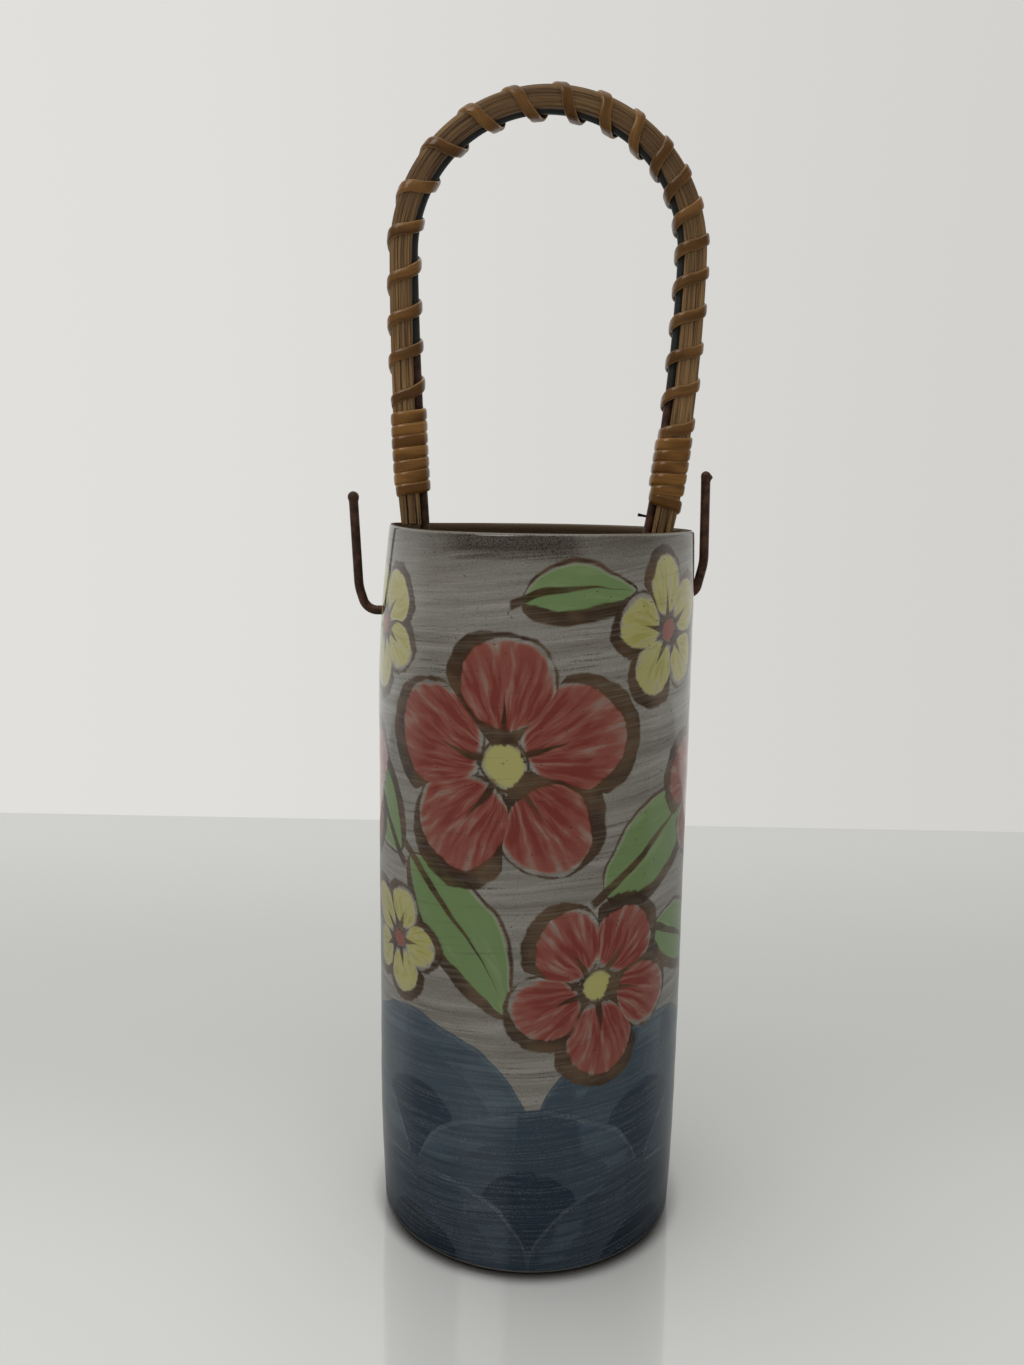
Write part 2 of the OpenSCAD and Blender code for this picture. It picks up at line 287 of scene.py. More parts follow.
floor_finish, g, shader = new_material("pale_board")
depth = g.split(g.place())[1]
# Painted light: the board runs from a lighter tone in front to a darker one behind, and a little lighter at
# its far edge.
tone = g.mix(g.step(depth, *NEAR_TO_FAR), FLOOR_NEAR, FLOOR_FAR)
tone = g.mix(g.step(depth, *FAR_TO_EDGE), tone, FLOOR_EDGE)
openness = g.node("ShaderNodeAmbientOcclusion", {"Distance": SHADE_REACH}).outputs["AO"]
shade = g.step(openness, *SHADE_OPEN, SHADE, 0.0)
shade = g.mul(shade, g.step(depth, *SHADE_TURNS, SHADE_BEHIND, 1.0))
g.plug(shader["Base Color"], g.mix(shade, tone, FLOOR_SHADE))
shader["Roughness"].default_value = POLISH_ROUGH
shader["IOR"].default_value = POLISH_IOR
dim = g.step(depth, *DIM_TURNS, DIM_BACK, DIM_FRONT)
mirrored = g.mul(g.node("ShaderNodeLightPath").outputs["Is Glossy Ray"], dim)
dark_board = g.node("ShaderNodeBsdfDiffuse", {"Color": DARK_BOARD})
board = g.node("ShaderNodeMixShader", {0: mirrored, 2: dark_board.outputs[0]})
g.plug(board.inputs[1], floor_finish.node_tree.nodes["Principled BSDF"].outputs[0])
g.plug(floor_finish.node_tree.nodes["Material Output"].inputs["Surface"], board.outputs[0])
floor_mesh.materials.append(floor_finish)
print("floor finished with", floor_finish.name)

# %% [markdown]
# The backdrop is a pale wall, a little darker on the right. It could be a second plane, but a world colour
# has no edge to show in other views. Rays from the camera and from shiny surfaces see the wall, and all
# other rays get an even, softer light. In reflections the room in front of the vase is dim, as it was
# behind the camera, apart from a soft panel overhead and a small window on the left. The glaze therefore
# keeps its depth in the middle, and brightens towards its outline.

# %% Backdrop
WALL_LEFT, WALL_RIGHT = srgb(226, 225, 222), srgb(210, 209, 206)
WALL_TURNS = (-0.55, 0.55)
AMBIENT, AMBIENT_COLOUR = 0.9, (1.0, 0.99, 0.97, 1.0)
DIM_ROOM, ROOM_TURNS = 0.12, (-0.25, 0.35)
PANEL_GLOW, PANEL_EDGE = 1.6, (0.80, 0.90)
WINDOW_GLOW, WINDOW_EDGE = 5.0, (0.955, 0.985)
WINDOW_WAY = (-0.45, -0.65, 0.62)

world = bpy.data.worlds.new("pale_wall")
world.use_nodes = True
world.node_tree.nodes.clear()
bpy.context.scene.world = world
g = Graph(world.node_tree)
ray = g.node("ShaderNodeLightPath").outputs
seen = g.largest(ray["Is Camera Ray"], ray["Is Glossy Ray"], ray["Is Transmission Ray"])
way = g.node("ShaderNodeTexCoord").outputs["Generated"]
to_right, to_back, to_top = g.split(way)
wall_colour = g.mix(g.step(to_right, *WALL_TURNS), WALL_LEFT, WALL_RIGHT)
room = g.step(to_back, *ROOM_TURNS, DIM_ROOM, 1.0)
panel = g.step(to_top, *PANEL_EDGE, 0.0, PANEL_GLOW)
to_window = g.node("ShaderNodeVectorMath", {0: way, 1: WINDOW_WAY}, operation="DOT_PRODUCT")
window = g.step(to_window.outputs["Value"], *WINDOW_EDGE, 0.0, WINDOW_GLOW)
glint = g.mul(window, ray["Is Glossy Ray"])
bright = g.largest(room, ray["Is Camera Ray"], panel, glint)
wall = g.node("ShaderNodeBackground", {"Color": wall_colour, "Strength": bright})
light = g.node("ShaderNodeBackground", {"Color": AMBIENT_COLOUR, "Strength": AMBIENT})
both = g.node("ShaderNodeMixShader", {0: seen, 1: light.outputs[0], 2: wall.outputs[0]})
g.node("ShaderNodeOutputWorld", {"Surface": both.outputs[0]})
bpy.context.scene.view_settings.view_transform = "Standard"
print("backdrop set:", world.name)

# %% [markdown]
# A product studio would use a large soft box, because a glossy round body mirrors every small lamp as a
# hard spot. One wide panel hangs overhead, a little to the left, and the pale room does the rest.
# The lamp itself is hidden from mirrors, because the polished floor would show it as a white square when
# it is seen from above. The soft panel in the backdrop is mirrored in its stead.

# %% Lamp
LAMP_PLACE, LAMP_AIM = Vector((-0.25, 0.0, 1.3)), Vector((0.0, 0.0, 0.1))
LAMP_SIZE, LAMP_POWER = 1.2, 14

lamp = bpy.data.lights.new("overhead", "AREA")
lamp.size = LAMP_SIZE
lamp.energy = LAMP_POWER
holder = bpy.data.objects.new("overhead", lamp)
holder.location = LAMP_PLACE
holder.rotation_euler = (LAMP_AIM - LAMP_PLACE).to_track_quat("-Z", "Y").to_euler()
holder.visible_glossy = False
bpy.context.scene.collection.objects.link(holder)
print(f"soft box hung {LAMP_PLACE.z:.1f} m up")

# %% [markdown]
# Bamboo splints and cane are long fibres that were straight before they were bent. A texture could be laid
# on with a UV map, but it would stretch in the bends. So each swept piece keeps, at every point, its place
# on the straight strip: along, through and across, in millimetres. A texture that reads this place bends
# with the strip, and shows end grain at a cut end.

# %% Helpers for swept pieces
# Three waves of an uneven drift: the height, pace and lag of each
DRIFT_WAVES = ((1.0, 1.0, 1.0), (0.6, 1.73, 2.1), (0.35, 3.37, 4.7))


def new_piece(name, points_mm, faces, straight=None):
    """A mesh object from points in millimetres, with the place on the straight strip as an attribute."""
    mesh = bpy.data.meshes.new(name)
    mesh.from_pydata((np.asarray(points_mm) * MM).tolist(), [], faces)
    if straight is not None:
        store = mesh.attributes.new("straight", "FLOAT_VECTOR", "POINT")
        store.data.foreach_set("vector", np.asarray(straight, dtype=np.float32).ravel())
    piece = bpy.data.objects.new(name, mesh)
    bpy.context.scene.collection.objects.link(piece)
    return piece


def smooth(piece, sharp_degrees):
    """Smooth shading, with edges sharper than an angle left crisp."""
    piece.data.polygons.foreach_set("use_smooth", [True] * len(piece.data.polygons))
    piece.data.set_sharp_from_angle(angle=math.radians(sharp_degrees))


def wall_faces(rings, sides):
    """Quads between neighbouring rings."""
    return [(i * sides + j, i * sides + (j + 1) % sides,
             (i + 1) * sides + (j + 1) % sides, (i + 1) * sides + j)
            for i in range(rings - 1) for j in range(sides)]


def strip_faces(rings, sides, turned_over=False):
    """Quads between neighbouring rings, and one face across each end."""
    faces = wall_faces(rings, sides)
    faces.append(tuple(reversed(range(sides))))
    faces.append(tuple((rings - 1) * sides + j for j in range(sides)))
    return [face[::-1] for face in faces] if turned_over else faces


def unit(vectors):
    return vectors / np.linalg.norm(vectors, axis=-1, keepdims=True)


def lengths_along(points):
    """Length from the first point to each point of a path."""
    return np.concatenate([[0], np.cumsum(np.linalg.norm(np.diff(points, axis=0), axis=1))])


def wander(along, phase, period, amount):
    """A slow, uneven drift, as a hand makes it: waves whose lengths don't fit each other."""
    turn = 2 * np.pi * np.asarray(along) / period
    total = sum(height * np.sin(pace * turn + lag * phase) for height, pace, lag in DRIFT_WAVES)
    return amount * total / sum(height for height, _, _ in DRIFT_WAVES)


print("swept pieces can be made")

# %% [markdown]
# The bail's middle line is a half circle on two long, nearly straight leg arcs that meet it smoothly. A
# Bezier curve could be drawn by eye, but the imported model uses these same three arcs, and everything on
# the bail has to lie on them. Lengths run from the lip on the left, over the top, to the lip on the right.

# %% Path of the bail
LEG_H = ARCH_Z - LIP_Z
TO_FRONT = np.array([0.0, -1.0, 0.0])


def leg_curve(bulge):
    """Radius of a leg's arc, and its turn, for how far its top stands out past its foot."""
    turn = 2 * math.atan(bulge / LEG_H)
    return LEG_H / math.sin(turn), turn


LEFT_R, LEFT_TURN = leg_curve(ARCH_R - ARCH_X - LEG_FOOT_X)
RIGHT_R, RIGHT_TURN = leg_curve(ARCH_R + ARCH_X - LEG_FOOT_X)
LEFT_LEN = LEFT_R * LEFT_TURN
TOP_LEN = ARCH_R * math.pi
BAIL_LEN = LEFT_LEN + TOP_LEN + RIGHT_R * RIGHT_TURN


def bail_place(along):
    """Points on the middle line and the directions that face outwards there."""
    along = np.asarray(along, dtype=float)
    parts = [along < LEFT_LEN, along > LEFT_LEN + TOP_LEN]
    angle = np.select(parts, [np.pi + LEFT_TURN - along / LEFT_R,
                              -(along - LEFT_LEN - TOP_LEN) / RIGHT_R],
                      np.pi - (along - LEFT_LEN) / ARCH_R)
    radius = np.select(parts, [LEFT_R, RIGHT_R], ARCH_R)
    centre_x = np.select(parts, [ARCH_X - ARCH_R + LEFT_R, ARCH_X + ARCH_R - RIGHT_R], ARCH_X)
    out = np.stack([np.cos(angle), 0 * angle, np.sin(angle)], axis=-1)
    point = out * radius[..., None] + np.stack([centre_x, 0 * angle, 0 * angle + ARCH_Z], axis=-1)
    return point, out


print(f"the bail is {BAIL_LEN:.1f} mm long from lip to lip")

# %% [markdown]
# One length of wire carries the vase. It runs under the splints, down inside the mouth, out through a
# hole on each side and up into a hook whose end was melted to a bead. On the legs it stands a little off
# the splints, and at the top it is drawn in between them. A wire bender thinks in corners and radii, and
# so does this step: an arc at every corner and straight runs between them. The outer bends are gentle,
# because fingers made them.

# %% Path of the wire
PATINA = 0.06
WIRE_R = WIRE_D / 2 + PATINA
WIRE_N = WIRE_R - BUNDLE_N / 2
INNER_BEND = 4.0
BEND_POINTS, ARCH_POINTS = 24, 240
# How far the wire stands off the splints towards the loop, by length along the bail
STAND_AT = (0, 25, 60, BAIL_LEN / 2, 165, 200, BAIL_LEN)
STAND = (0.75, 0.7, 0.2, -0.45, 0.3, 0.8, 0.8)
# Each hook: its side, the distance from the wall of the corner on the line of the holes and its bend,
# the next corner's distance, height above the hole and bend, and the bead's distance and height
LEFT_HOOK = (-1, 2.9, 3.6, 4.75, 5.6, 12.0, 5.95, 28.0)
RIGHT_HOOK = (1, 0.6, 2.4, 2.35, 7.5, 14.0, 1.95, 28.7)


def wire_stand(along):
    return np.interp(along, STAND_AT, STAND)


def round_corners(corners, radii):
    """Points along straight runs, with an arc of its own radius at each inner corner."""
    points = [corners[0]]
    for before, corner, after, radius in zip(corners, corners[1:], corners[2:], radii):
        way_back, way_on = unit(before - corner), unit(after - corner)
        half = math.acos(way_back @ way_on) / 2
        middle = corner + unit(way_back + way_on) * radius / math.sin(half)
        first = corner + way_back * radius / math.tan(half) - middle
        last = corner + way_on * radius / math.tan(half) - middle
        for share in np.linspace(0, 1, BEND_POINTS):
            points.append(middle + unit((1 - share) * first + share * last) * radius)
    return np.array([*points, corners[-1]])


def hook_path(side, out, bend, knee_out, knee_up, knee_bend, bead_out, bead_up):
    """Wire from one foot of the arch to its bead, as (x, z) points."""
    end = 0.0 if side < 0 else BAIL_LEN
    point, face = bail_place([end])
    foot = (point + face * (WIRE_N - wire_stand(end)))[0, [0, 2]]
    down = side * np.array([face[0, 2], -face[0, 0]])
    slope = HINGE_AXIS[2] / HINGE_AXIS[0]
    drop = (HINGE[2] + slope * foot[0] - foot[1]) / (down[1] - slope * down[0])
    hole = np.array([side * VASE_R, HINGE[2] + slope * side * VASE_R])
    corner = hole + [side * out, slope * side * out]
    knee = hole + [side * knee_out, knee_up]
    bead = hole + [side * bead_out, bead_up]
    return round_corners([foot, foot + down * drop, corner, knee, bead], [INNER_BEND, bend, knee_bend])


arch_along = np.linspace(0, BAIL_LEN, ARCH_POINTS)
arch_points, arch_faces = bail_place(arch_along)
arch_wire = (arch_points + arch_faces * (WIRE_N - wire_stand(arch_along))[:, None])[1:-1, [0, 2]]
wire_path = np.concatenate([hook_path(*LEFT_HOOK)[::-1], arch_wire, hook_path(*RIGHT_HOOK)])
print("the wire is bent through", len(wire_path), "points")

# %% [markdown]
# A bevelled curve would make a plain wire, but this one ends in beads, and the right one has a burr. The
# wire lies in one upright plane, so a ring at each step needs only the direction of travel and the way to
# the front, and its radius may change on the way: at a bead it swells and closes like half a ball. The
# same sweep makes the short cut end of the thin tie wire that sticks out beside the right leg.

# %% Bail wire and tie end
WIRE_SIDES = 16
WIRE_STEP = 0.7
WIRE_SHARP = 60
LEFT_BEAD, RIGHT_BEAD = 1.36, 1.16
BEAD_NECK, BEAD_RINGS = 1.2, 16
BLUNT = 0.03
BURR, BURR_DOWN, BURR_LEN = 0.5, 1.5, 0.55
TIE_R, TIE_SWELL = 0.24, 0.16
TIE_LEN, TIE_RINGS = 3.4, 6
TIE_UP, TIE_RISE = 2.8, 0.6


def sweep_in_plane(name, path, rings_for, radius_at):
    """A round bar along (x, z) points. Its rings and their radii come from two functions."""
    run = lengths_along(path)
    rings = rings_for(run[-1])
    x, z = (np.interp(rings, run, path[:, axis]) for axis in (0, 1))
    place = np.stack([x, 0 * rings, z], axis=-1)
    travel = unit(np.gradient(place, rings, axis=0))
    side = np.stack([-travel[:, 2], 0 * rings, travel[:, 0]], axis=-1)
    turn = np.linspace(0, 2 * np.pi, WIRE_SIDES, endpoint=False)
    radius = radius_at(rings[:, None], run[-1], turn[None])[..., None]
    around = side[:, None] * np.cos(turn)[None, :, None] + TO_FRONT * np.sin(turn)[None, :, None]
    points = (place[:, None] + radius * around).reshape(-1, 3)
    piece = new_piece(name, points, strip_faces(len(rings), WIRE_SIDES))
    smooth(piece, WIRE_SHARP)
    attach(piece, "bail")
    return piece


def wire_rings(length):
    bead = np.linspace(0, LEFT_BEAD + BEAD_NECK, BEAD_RINGS)
    shaft = np.arange(bead[-1] + WIRE_STEP, length - bead[-1], WIRE_STEP)
    return np.concatenate([bead, shaft, length - bead[::-1]])


def wire_radius(rings, length, turn):
    """The wire's radius, with a ball at each end and a burr on the outer side of the right one."""
    end = np.minimum(rings, length - rings)
    bead = np.where(rings < length / 2, LEFT_BEAD, RIGHT_BEAD)
    ball = np.sqrt(np.maximum(bead ** 2 - (bead - end) ** 2, BLUNT))
    share = np.clip((end - bead) / BEAD_NECK, 0, 1)
    neck = bead + (WIRE_R - bead) * share ** 2 * (3 - 2 * share)
    burr = BURR * np.exp(-((length - rings - BURR_DOWN) / BURR_LEN) ** 2)
    return np.where(end < bead, ball, neck) + burr * np.clip(-np.cos(turn), 0, 1) ** 3


def tie_rings(length):
    return np.linspace(0, length, TIE_RINGS)


def tie_radius(rings, length, turn):
    return TIE_R + TIE_SWELL * (rings / length) ** 2 + 0 * turn


wire = sweep_in_plane("hooked_wire", wire_path, wire_rings, wire_radius)
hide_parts("bail_wire")
tie_foot = np.array([LEG_FOOT_X + WIRE_N, LIP_Z + TIE_UP])
tie_path = np.array([tie_foot, tie_foot + [-TIE_LEN, TIE_RISE]])
tie_end = sweep_in_plane("tie_end", tie_path, tie_rings, tie_radius)
print("swept:", wire.name, "and", tie_end.name)

# %% [markdown]
# Six split-bamboo splints lie side by side in three rows. Bevelled boxes on a curve would look planed, but
# a splint is split by hand: its long edges are eased, its thickness drifts, most on the loose left leg, and
# its ends are cut by eye, no two at one length. So a section is swept along the path, with a slow drift at
# each ring. The ends are shaved thinner, so that they clear the lip when the bail swings.

# %% Splints
SPLINT_GAP, SPLINT_DRIFT = 0.04, 0.03
SPLINT_SHARP = 50
EASED, ARC_POINTS = 0.07, 5
LOOSE_LEFT, LOOSE_RIGHT = 0.07, 0.0
LOOSE_PERIOD, NARROW_PERIOD = 61, 47
# Where the ends are cut: beyond the lip's height, how unevenly, and how that changes from splint to splint
LEFT_END, LEFT_UNEVEN, LEFT_PACE = 0.5, 0.2, 2.4
RIGHT_END, RIGHT_UNEVEN, RIGHT_PACE = 3.0, 0.5, 1.9
THINNED, THINNED_LEN = 0.4, 9.0
RING_STEP = 1.2
FIBRES_APART = 10
# Each row: its name, its faces towards and away from the loop, how far it starts from the middle,
# and the radii of its inner and outer front corners
SPLINT_ROWS = [("outer", 1.02, 3.1, SPLINT_GAP / 2, EASED, 1.35),
               ("middle", -0.98, 1.0, SPLINT_GAP / 2, EASED, EASED),
               ("inner", -2.05, -1.0, WIRE_R + SPLINT_GAP, 0.5, EASED)]


def eased_section(n_low, n_high, y_low, y_high, inner_r, outer_r):
    """Corners of a strip as arcs: (n, y) points that go once round it."""
    corners = [(n_low, y_low, EASED, 1, 1, 180), (n_high, y_low, EASED, -1, 1, 270),
               (n_high, y_high, outer_r, -1, -1, 0), (n_low, y_high, inner_r, 1, -1, 90)]
    points = []
    for n, y, radius, to_n, to_y, start in corners:
        for turn in np.radians(np.linspace(start, start + 90, ARC_POINTS)):
            points.append((n + to_n * radius + radius * math.cos(turn),
                           y + to_y * radius + radius * math.sin(turn)))
    return np.array(points)


def make_splint(row, side, number):
    """One splint along the whole bail; side is 1 in front and -1 behind."""
    name, n_low, n_high, y_low, inner_r, outer_r = row
    section = eased_section(n_low, n_high, y_low, BUNDLE_Y / 2, inner_r, outer_r)
    start = LEFT_END + LEFT_UNEVEN * math.sin(LEFT_PACE * number)
    end = BAIL_LEN + RIGHT_END + RIGHT_UNEVEN * math.sin(RIGHT_PACE * number + 1)
    along = np.linspace(start, end, int((end - start) / RING_STEP))
    point, out = bail_place(along)
    middle_n = (n_low + n_high) / 2
    loose = LOOSE_LEFT + (LOOSE_RIGHT - LOOSE_LEFT) * along / BAIL_LEN
    squeeze = 1 - loose * (1 + wander(along, number, LOOSE_PERIOD, 1)) / 2
    narrow = SPLINT_DRIFT * (1 + wander(along, number + 3, NARROW_PERIOD, 1))
    n = middle_n + (section[:, 0] - middle_n)[None] * squeeze[:, None]
    to_end = np.minimum(along - start, end - along)
    thinned = THINNED * np.clip(1 - to_end / THINNED_LEN, 0, 1)
    n = n - thinned[:, None] * (section[:, 0] > middle_n)[None]
    y = section[:, 1][None] - narrow[:, None] * (section[:, 1] > BUNDLE_Y / 4)[None]
    places = point[:, None] + out[:, None] * n[..., None] + TO_FRONT * (side * y)[..., None]
    straight = np.stack([np.broadcast_to(along[:, None], n.shape), n + FIBRES_APART * number, y], axis=-1)
    faces = strip_faces(len(along), len(section), turned_over=side > 0)
    place_name = "front" if side > 0 else "back"
    piece = new_piece(f"bamboo_{name}_{place_name}", places.reshape(-1, 3), faces, straight.reshape(-1, 3))
    smooth(piece, SPLINT_SHARP)
    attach(piece, "bail")
    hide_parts(f"splint_{name}_{place_name}")
    return piece


splints = [make_splint(row, side, 2 * i + (side > 0))
           for i, row in enumerate(SPLINT_ROWS) for side in (1, -1)]
print("splints made:", ", ".join(piece.name for piece in splints))

# %% [markdown]
# Split cane binds the bundle. A curve wound round a tube would float at the corners and cut into the
# flats, because the bundle is a rounded rectangle. So the strip's back is placed on that outline, which
# reaches further towards the loop wherever the wire stands off the splints.

# %% Outline of the bundle
BUNDLE_POWER = 3.0


def rounded(a, b, angle):
    """Rounded outline of the bundle at an angle from its outer side."""
    cos, sin = np.cos(angle), np.sin(angle)
    return (a * np.sign(cos) * np.abs(cos) ** (2 / BUNDLE_POWER),
            b * np.sign(sin) * np.abs(sin) ** (2 / BUNDLE_POWER))


def cane_place(along, angle, lift):
    """Place of the strip's back for a length along the bail and an angle round the bundle."""
    point, out = bail_place(along)
    n, y = rounded(BUNDLE_N / 2 + lift, BUNDLE_Y / 2 + lift, angle)
    wider = 1 + np.clip(wire_stand(along), 0, None) / (BUNDLE_N / 2)
    n = np.where(n < 0, n * wider, n)
    return point + out * n[:, None] + TO_FRONT * y[:, None]


def cane_out(along, angle):
    """Direction that faces away from the bundle there."""
    out = bail_place(along)[1]
    n, y = rounded(1.0, 1.0, angle)
    lean_n = np.sign(n) * np.abs(n) ** (BUNDLE_POWER - 1) / BUNDLE_N
    lean_y = np.sign(y) * np.abs(y) ** (BUNDLE_POWER - 1) / BUNDLE_Y
    return unit(out * lean_n[:, None] + TO_FRONT * lean_y[:, None])


print("cane can follow the bundle")

# %% [markdown]
# A strip of split cane has a flat back and a crowned, shiny skin. A flat ribbon with a thickness would lose
# the crown, which is what catches the light, so a drawn section is swept instead. Its width and crown
# wander a little along the strip, and an end that is tucked in dives under its neighbour.

# %% A strip of cane
CANE_T = 0.72
CANE_CLEAR = 0.05
CANE_SHARP = 55
RINGS_A_TURN = 44
TUCK = 0.55
WIDTH_PERIOD, WIDTH_DRIFT = 37, 0.06
CROWN_PERIOD, CROWN_DRIFT = 29, 0.08
# Section of the strip: share of its half width, share of its thickness
CANE_SECTION = np.array([(1.0, 0.0), (1.0, 0.42), (0.93, 0.68), (0.75, 0.88), (0.42, 0.98),
                         (-0.42, 0.98), (-0.75, 0.88), (-0.93, 0.68), (-1.0, 0.42), (-1.0, 0.0)])


def make_cane(name, node, along, angle, width, dive_start, dive_end):
    """A strip of cane along a path; dive is the angle over which an end sinks below its neighbour."""
    turned = np.abs(angle - angle[0])
    sink = np.zeros_like(angle)
    for dive, gone in ((dive_start, turned), (dive_end, turned[-1] - turned)):
        if dive:
            sink += TUCK * np.clip(1 - gone / dive, 0, 1) ** 2
    back = cane_place(along, angle, CANE_CLEAR - sink)
    out = cane_out(along, angle)
    across = unit(np.cross(unit(np.gradient(back, axis=0)), out))
    run = lengths_along(back)
    half = width / 2 + wander(run, len(name), WIDTH_PERIOD, WIDTH_DRIFT)
    crown = CANE_T * (1 + wander(run, 2 * len(name), CROWN_PERIOD, CROWN_DRIFT))
    w = half[:, None] * CANE_SECTION[:, 0][None]
    t = crown[:, None] * CANE_SECTION[:, 1][None]
    places = back[:, None] + across[:, None] * w[..., None] + out[:, None] * t[..., None]
    straight = np.stack([np.broadcast_to(run[:, None], w.shape), t,
                         np.broadcast_to(CANE_SECTION[:, 0][None], w.shape)], axis=-1)
    faces = strip_faces(len(run), len(CANE_SECTION), turned_over=angle[-1] > angle[0])
    piece = new_piece(name, places.reshape(-1, 3), faces, straight.reshape(-1, 3))
    smooth(piece, CANE_SHARP)
    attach(piece, "bail")
    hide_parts(node)
    return piece


def winding(start, end, turns, start_degrees):
    """Lengths and angles of an even winding."""
    share = np.linspace(0, 1, int(abs(turns) * RINGS_A_TURN) + 1)
    return start + (end - start) * share, np.radians(start_degrees + 360 * turns * share)


print("strips of cane can be wound")

# %% [markdown]
# Each leg wears a collar of touching turns, seven on the left and five on the right. Stacked rings would be
# quicker, but one strip that climbs by its own width each turn gives the slight slant of a real winding.
# A small drift leaves the gaps between turns uneven.

# %% Collars
COLLAR_W, COLLAR_PITCH = 2.68, 2.72
COLLAR_DRIFT, COLLAR_PERIOD = 0.1, 9
LEFT_TURNS, RIGHT_TURNS = 7, 5
LEFT_FROM, RIGHT_STAND = 8.1, 8.4
DIVE = 1.2
LEFT_TO = LEFT_FROM + COLLAR_PITCH * LEFT_TURNS
RIGHT_TO = BAIL_LEN - RIGHT_STAND
RIGHT_FROM = RIGHT_TO - COLLAR_PITCH * RIGHT_TURNS

along, angle = winding(LEFT_FROM, LEFT_TO, LEFT_TURNS, 0)
along = along + wander(angle, 1, COLLAR_PERIOD, COLLAR_DRIFT)
left_collar = make_cane("left_collar_cane", "left_collar", along, angle, COLLAR_W, DIVE, DIVE)
along, angle = winding(RIGHT_FROM, RIGHT_TO, RIGHT_TURNS, 180)
along = along + wander(angle, 2, COLLAR_PERIOD, COLLAR_DRIFT)
right_collar = make_cane("right_collar_cane", "right_collar", along, angle, COLLAR_W, DIVE, DIVE)
print("collars made with", LEFT_TURNS, "and", RIGHT_TURNS, "turns")

# %% [markdown]
# The spiral between the collars is the same strip wound open. An even helix would look machine-made: the
# winder let the turns spread on the way up and drew them together on the way down, so the pitch is
# stretched by a smooth bump. Below the right collar the strip's end slants back across the front and is
# cut off blunt.

# %% Spiral and tail
SPIRAL_W, SPIRAL_TURNS = 2.5, 20.5
SPIRAL_STRETCH, SPIRAL_BUMP = 8.8, 4
SPIRAL_DRIFT, SPIRAL_PERIOD = 0.35, 17
SPIRAL_DIVE, SPIRAL_TUCK = 1.0, 1.0
TAIL_START, TAIL_DROP = 0.6, 2.5
TAIL_W, TAIL_DIVE = 2.85, 2.4
TAIL_TURNS, TAIL_ANGLE = -0.62, 200

along, angle = winding(LEFT_TO + SPIRAL_TUCK, RIGHT_FROM + SPIRAL_TUCK, SPIRAL_TURNS, 0)
along = along + SPIRAL_STRETCH * np.sin(angle / (2 * SPIRAL_TURNS)) ** SPIRAL_BUMP
along = along + wander(angle, 5, SPIRAL_PERIOD, SPIRAL_DRIFT)
spiral = make_cane("spiral_cane", "cane_spiral", along, angle, SPIRAL_W, SPIRAL_DIVE, SPIRAL_DIVE)
tail_from = RIGHT_TO + TAIL_START
along, angle = winding(tail_from, tail_from + TAIL_DROP, TAIL_TURNS, TAIL_ANGLE)
tail = make_cane("tail_cane", "cane_tail", along, angle, TAIL_W, TAIL_DIVE, 0)
canes = [left_collar, right_collar, spiral, tail]
print("spiral made with", SPIRAL_TURNS, "turns, and a tail")

# %% [markdown]
# The vase is a thrown cylinder with a rounded lip, a flat floor and a ring for a foot. It could be a tube
# with bevels, but a lathe is the honest way to make a thrown pot: one half section, turned round the
# axis. This step draws that section, with the foot's outer edge bevelled where it was wiped clean.

# %% Section of the vase
WALL_T = 3.8
FLOOR_Z, FLOOR_CORNER, FLOOR_FLAT = 7.6, 8.0, 9.0
FOOT_DRAW, FOOT_DRAW_H = 0.9, 36.0
LIP_DRAW, LIP_DRAW_H = 0.6, 24.0
LIP_OUTER, LIP_INNER = 0.7, 1.5
FOOT_CORNER, FOOT_RING, FOOT_RECESS = 0.5, 5.0, 1.6
FOOT_BEVEL, FOOT_LIFT, FOOT_SLANT = 1.1, 0.5, -65
RECESS_FLAT, RING_SLOPE, RING_EASED, RING_EASED_H = 14.0, 0.8, 0.4, 0.2
OUTSIDE_RINGS, INSIDE_RINGS = 150, 80
CORNER_RINGS, LIP_RINGS = 10, 12


def wall_r(z):
    """Outer radius of the wall at a height."""
    foot = np.clip(1 - z / FOOT_DRAW_H, 0, None) ** 2
    lip = np.clip(1 - (LIP_Z - z) / LIP_DRAW_H, 0, None) ** 2
    return VASE_R - FOOT_DRAW * foot - LIP_DRAW * lip


def arc(centre, radius, start, end, count):
    turn = np.radians(np.linspace(start, end, count))
    return np.stack([centre[0] + radius * np.cos(turn), centre[1] + radius * np.sin(turn)], axis=-1)


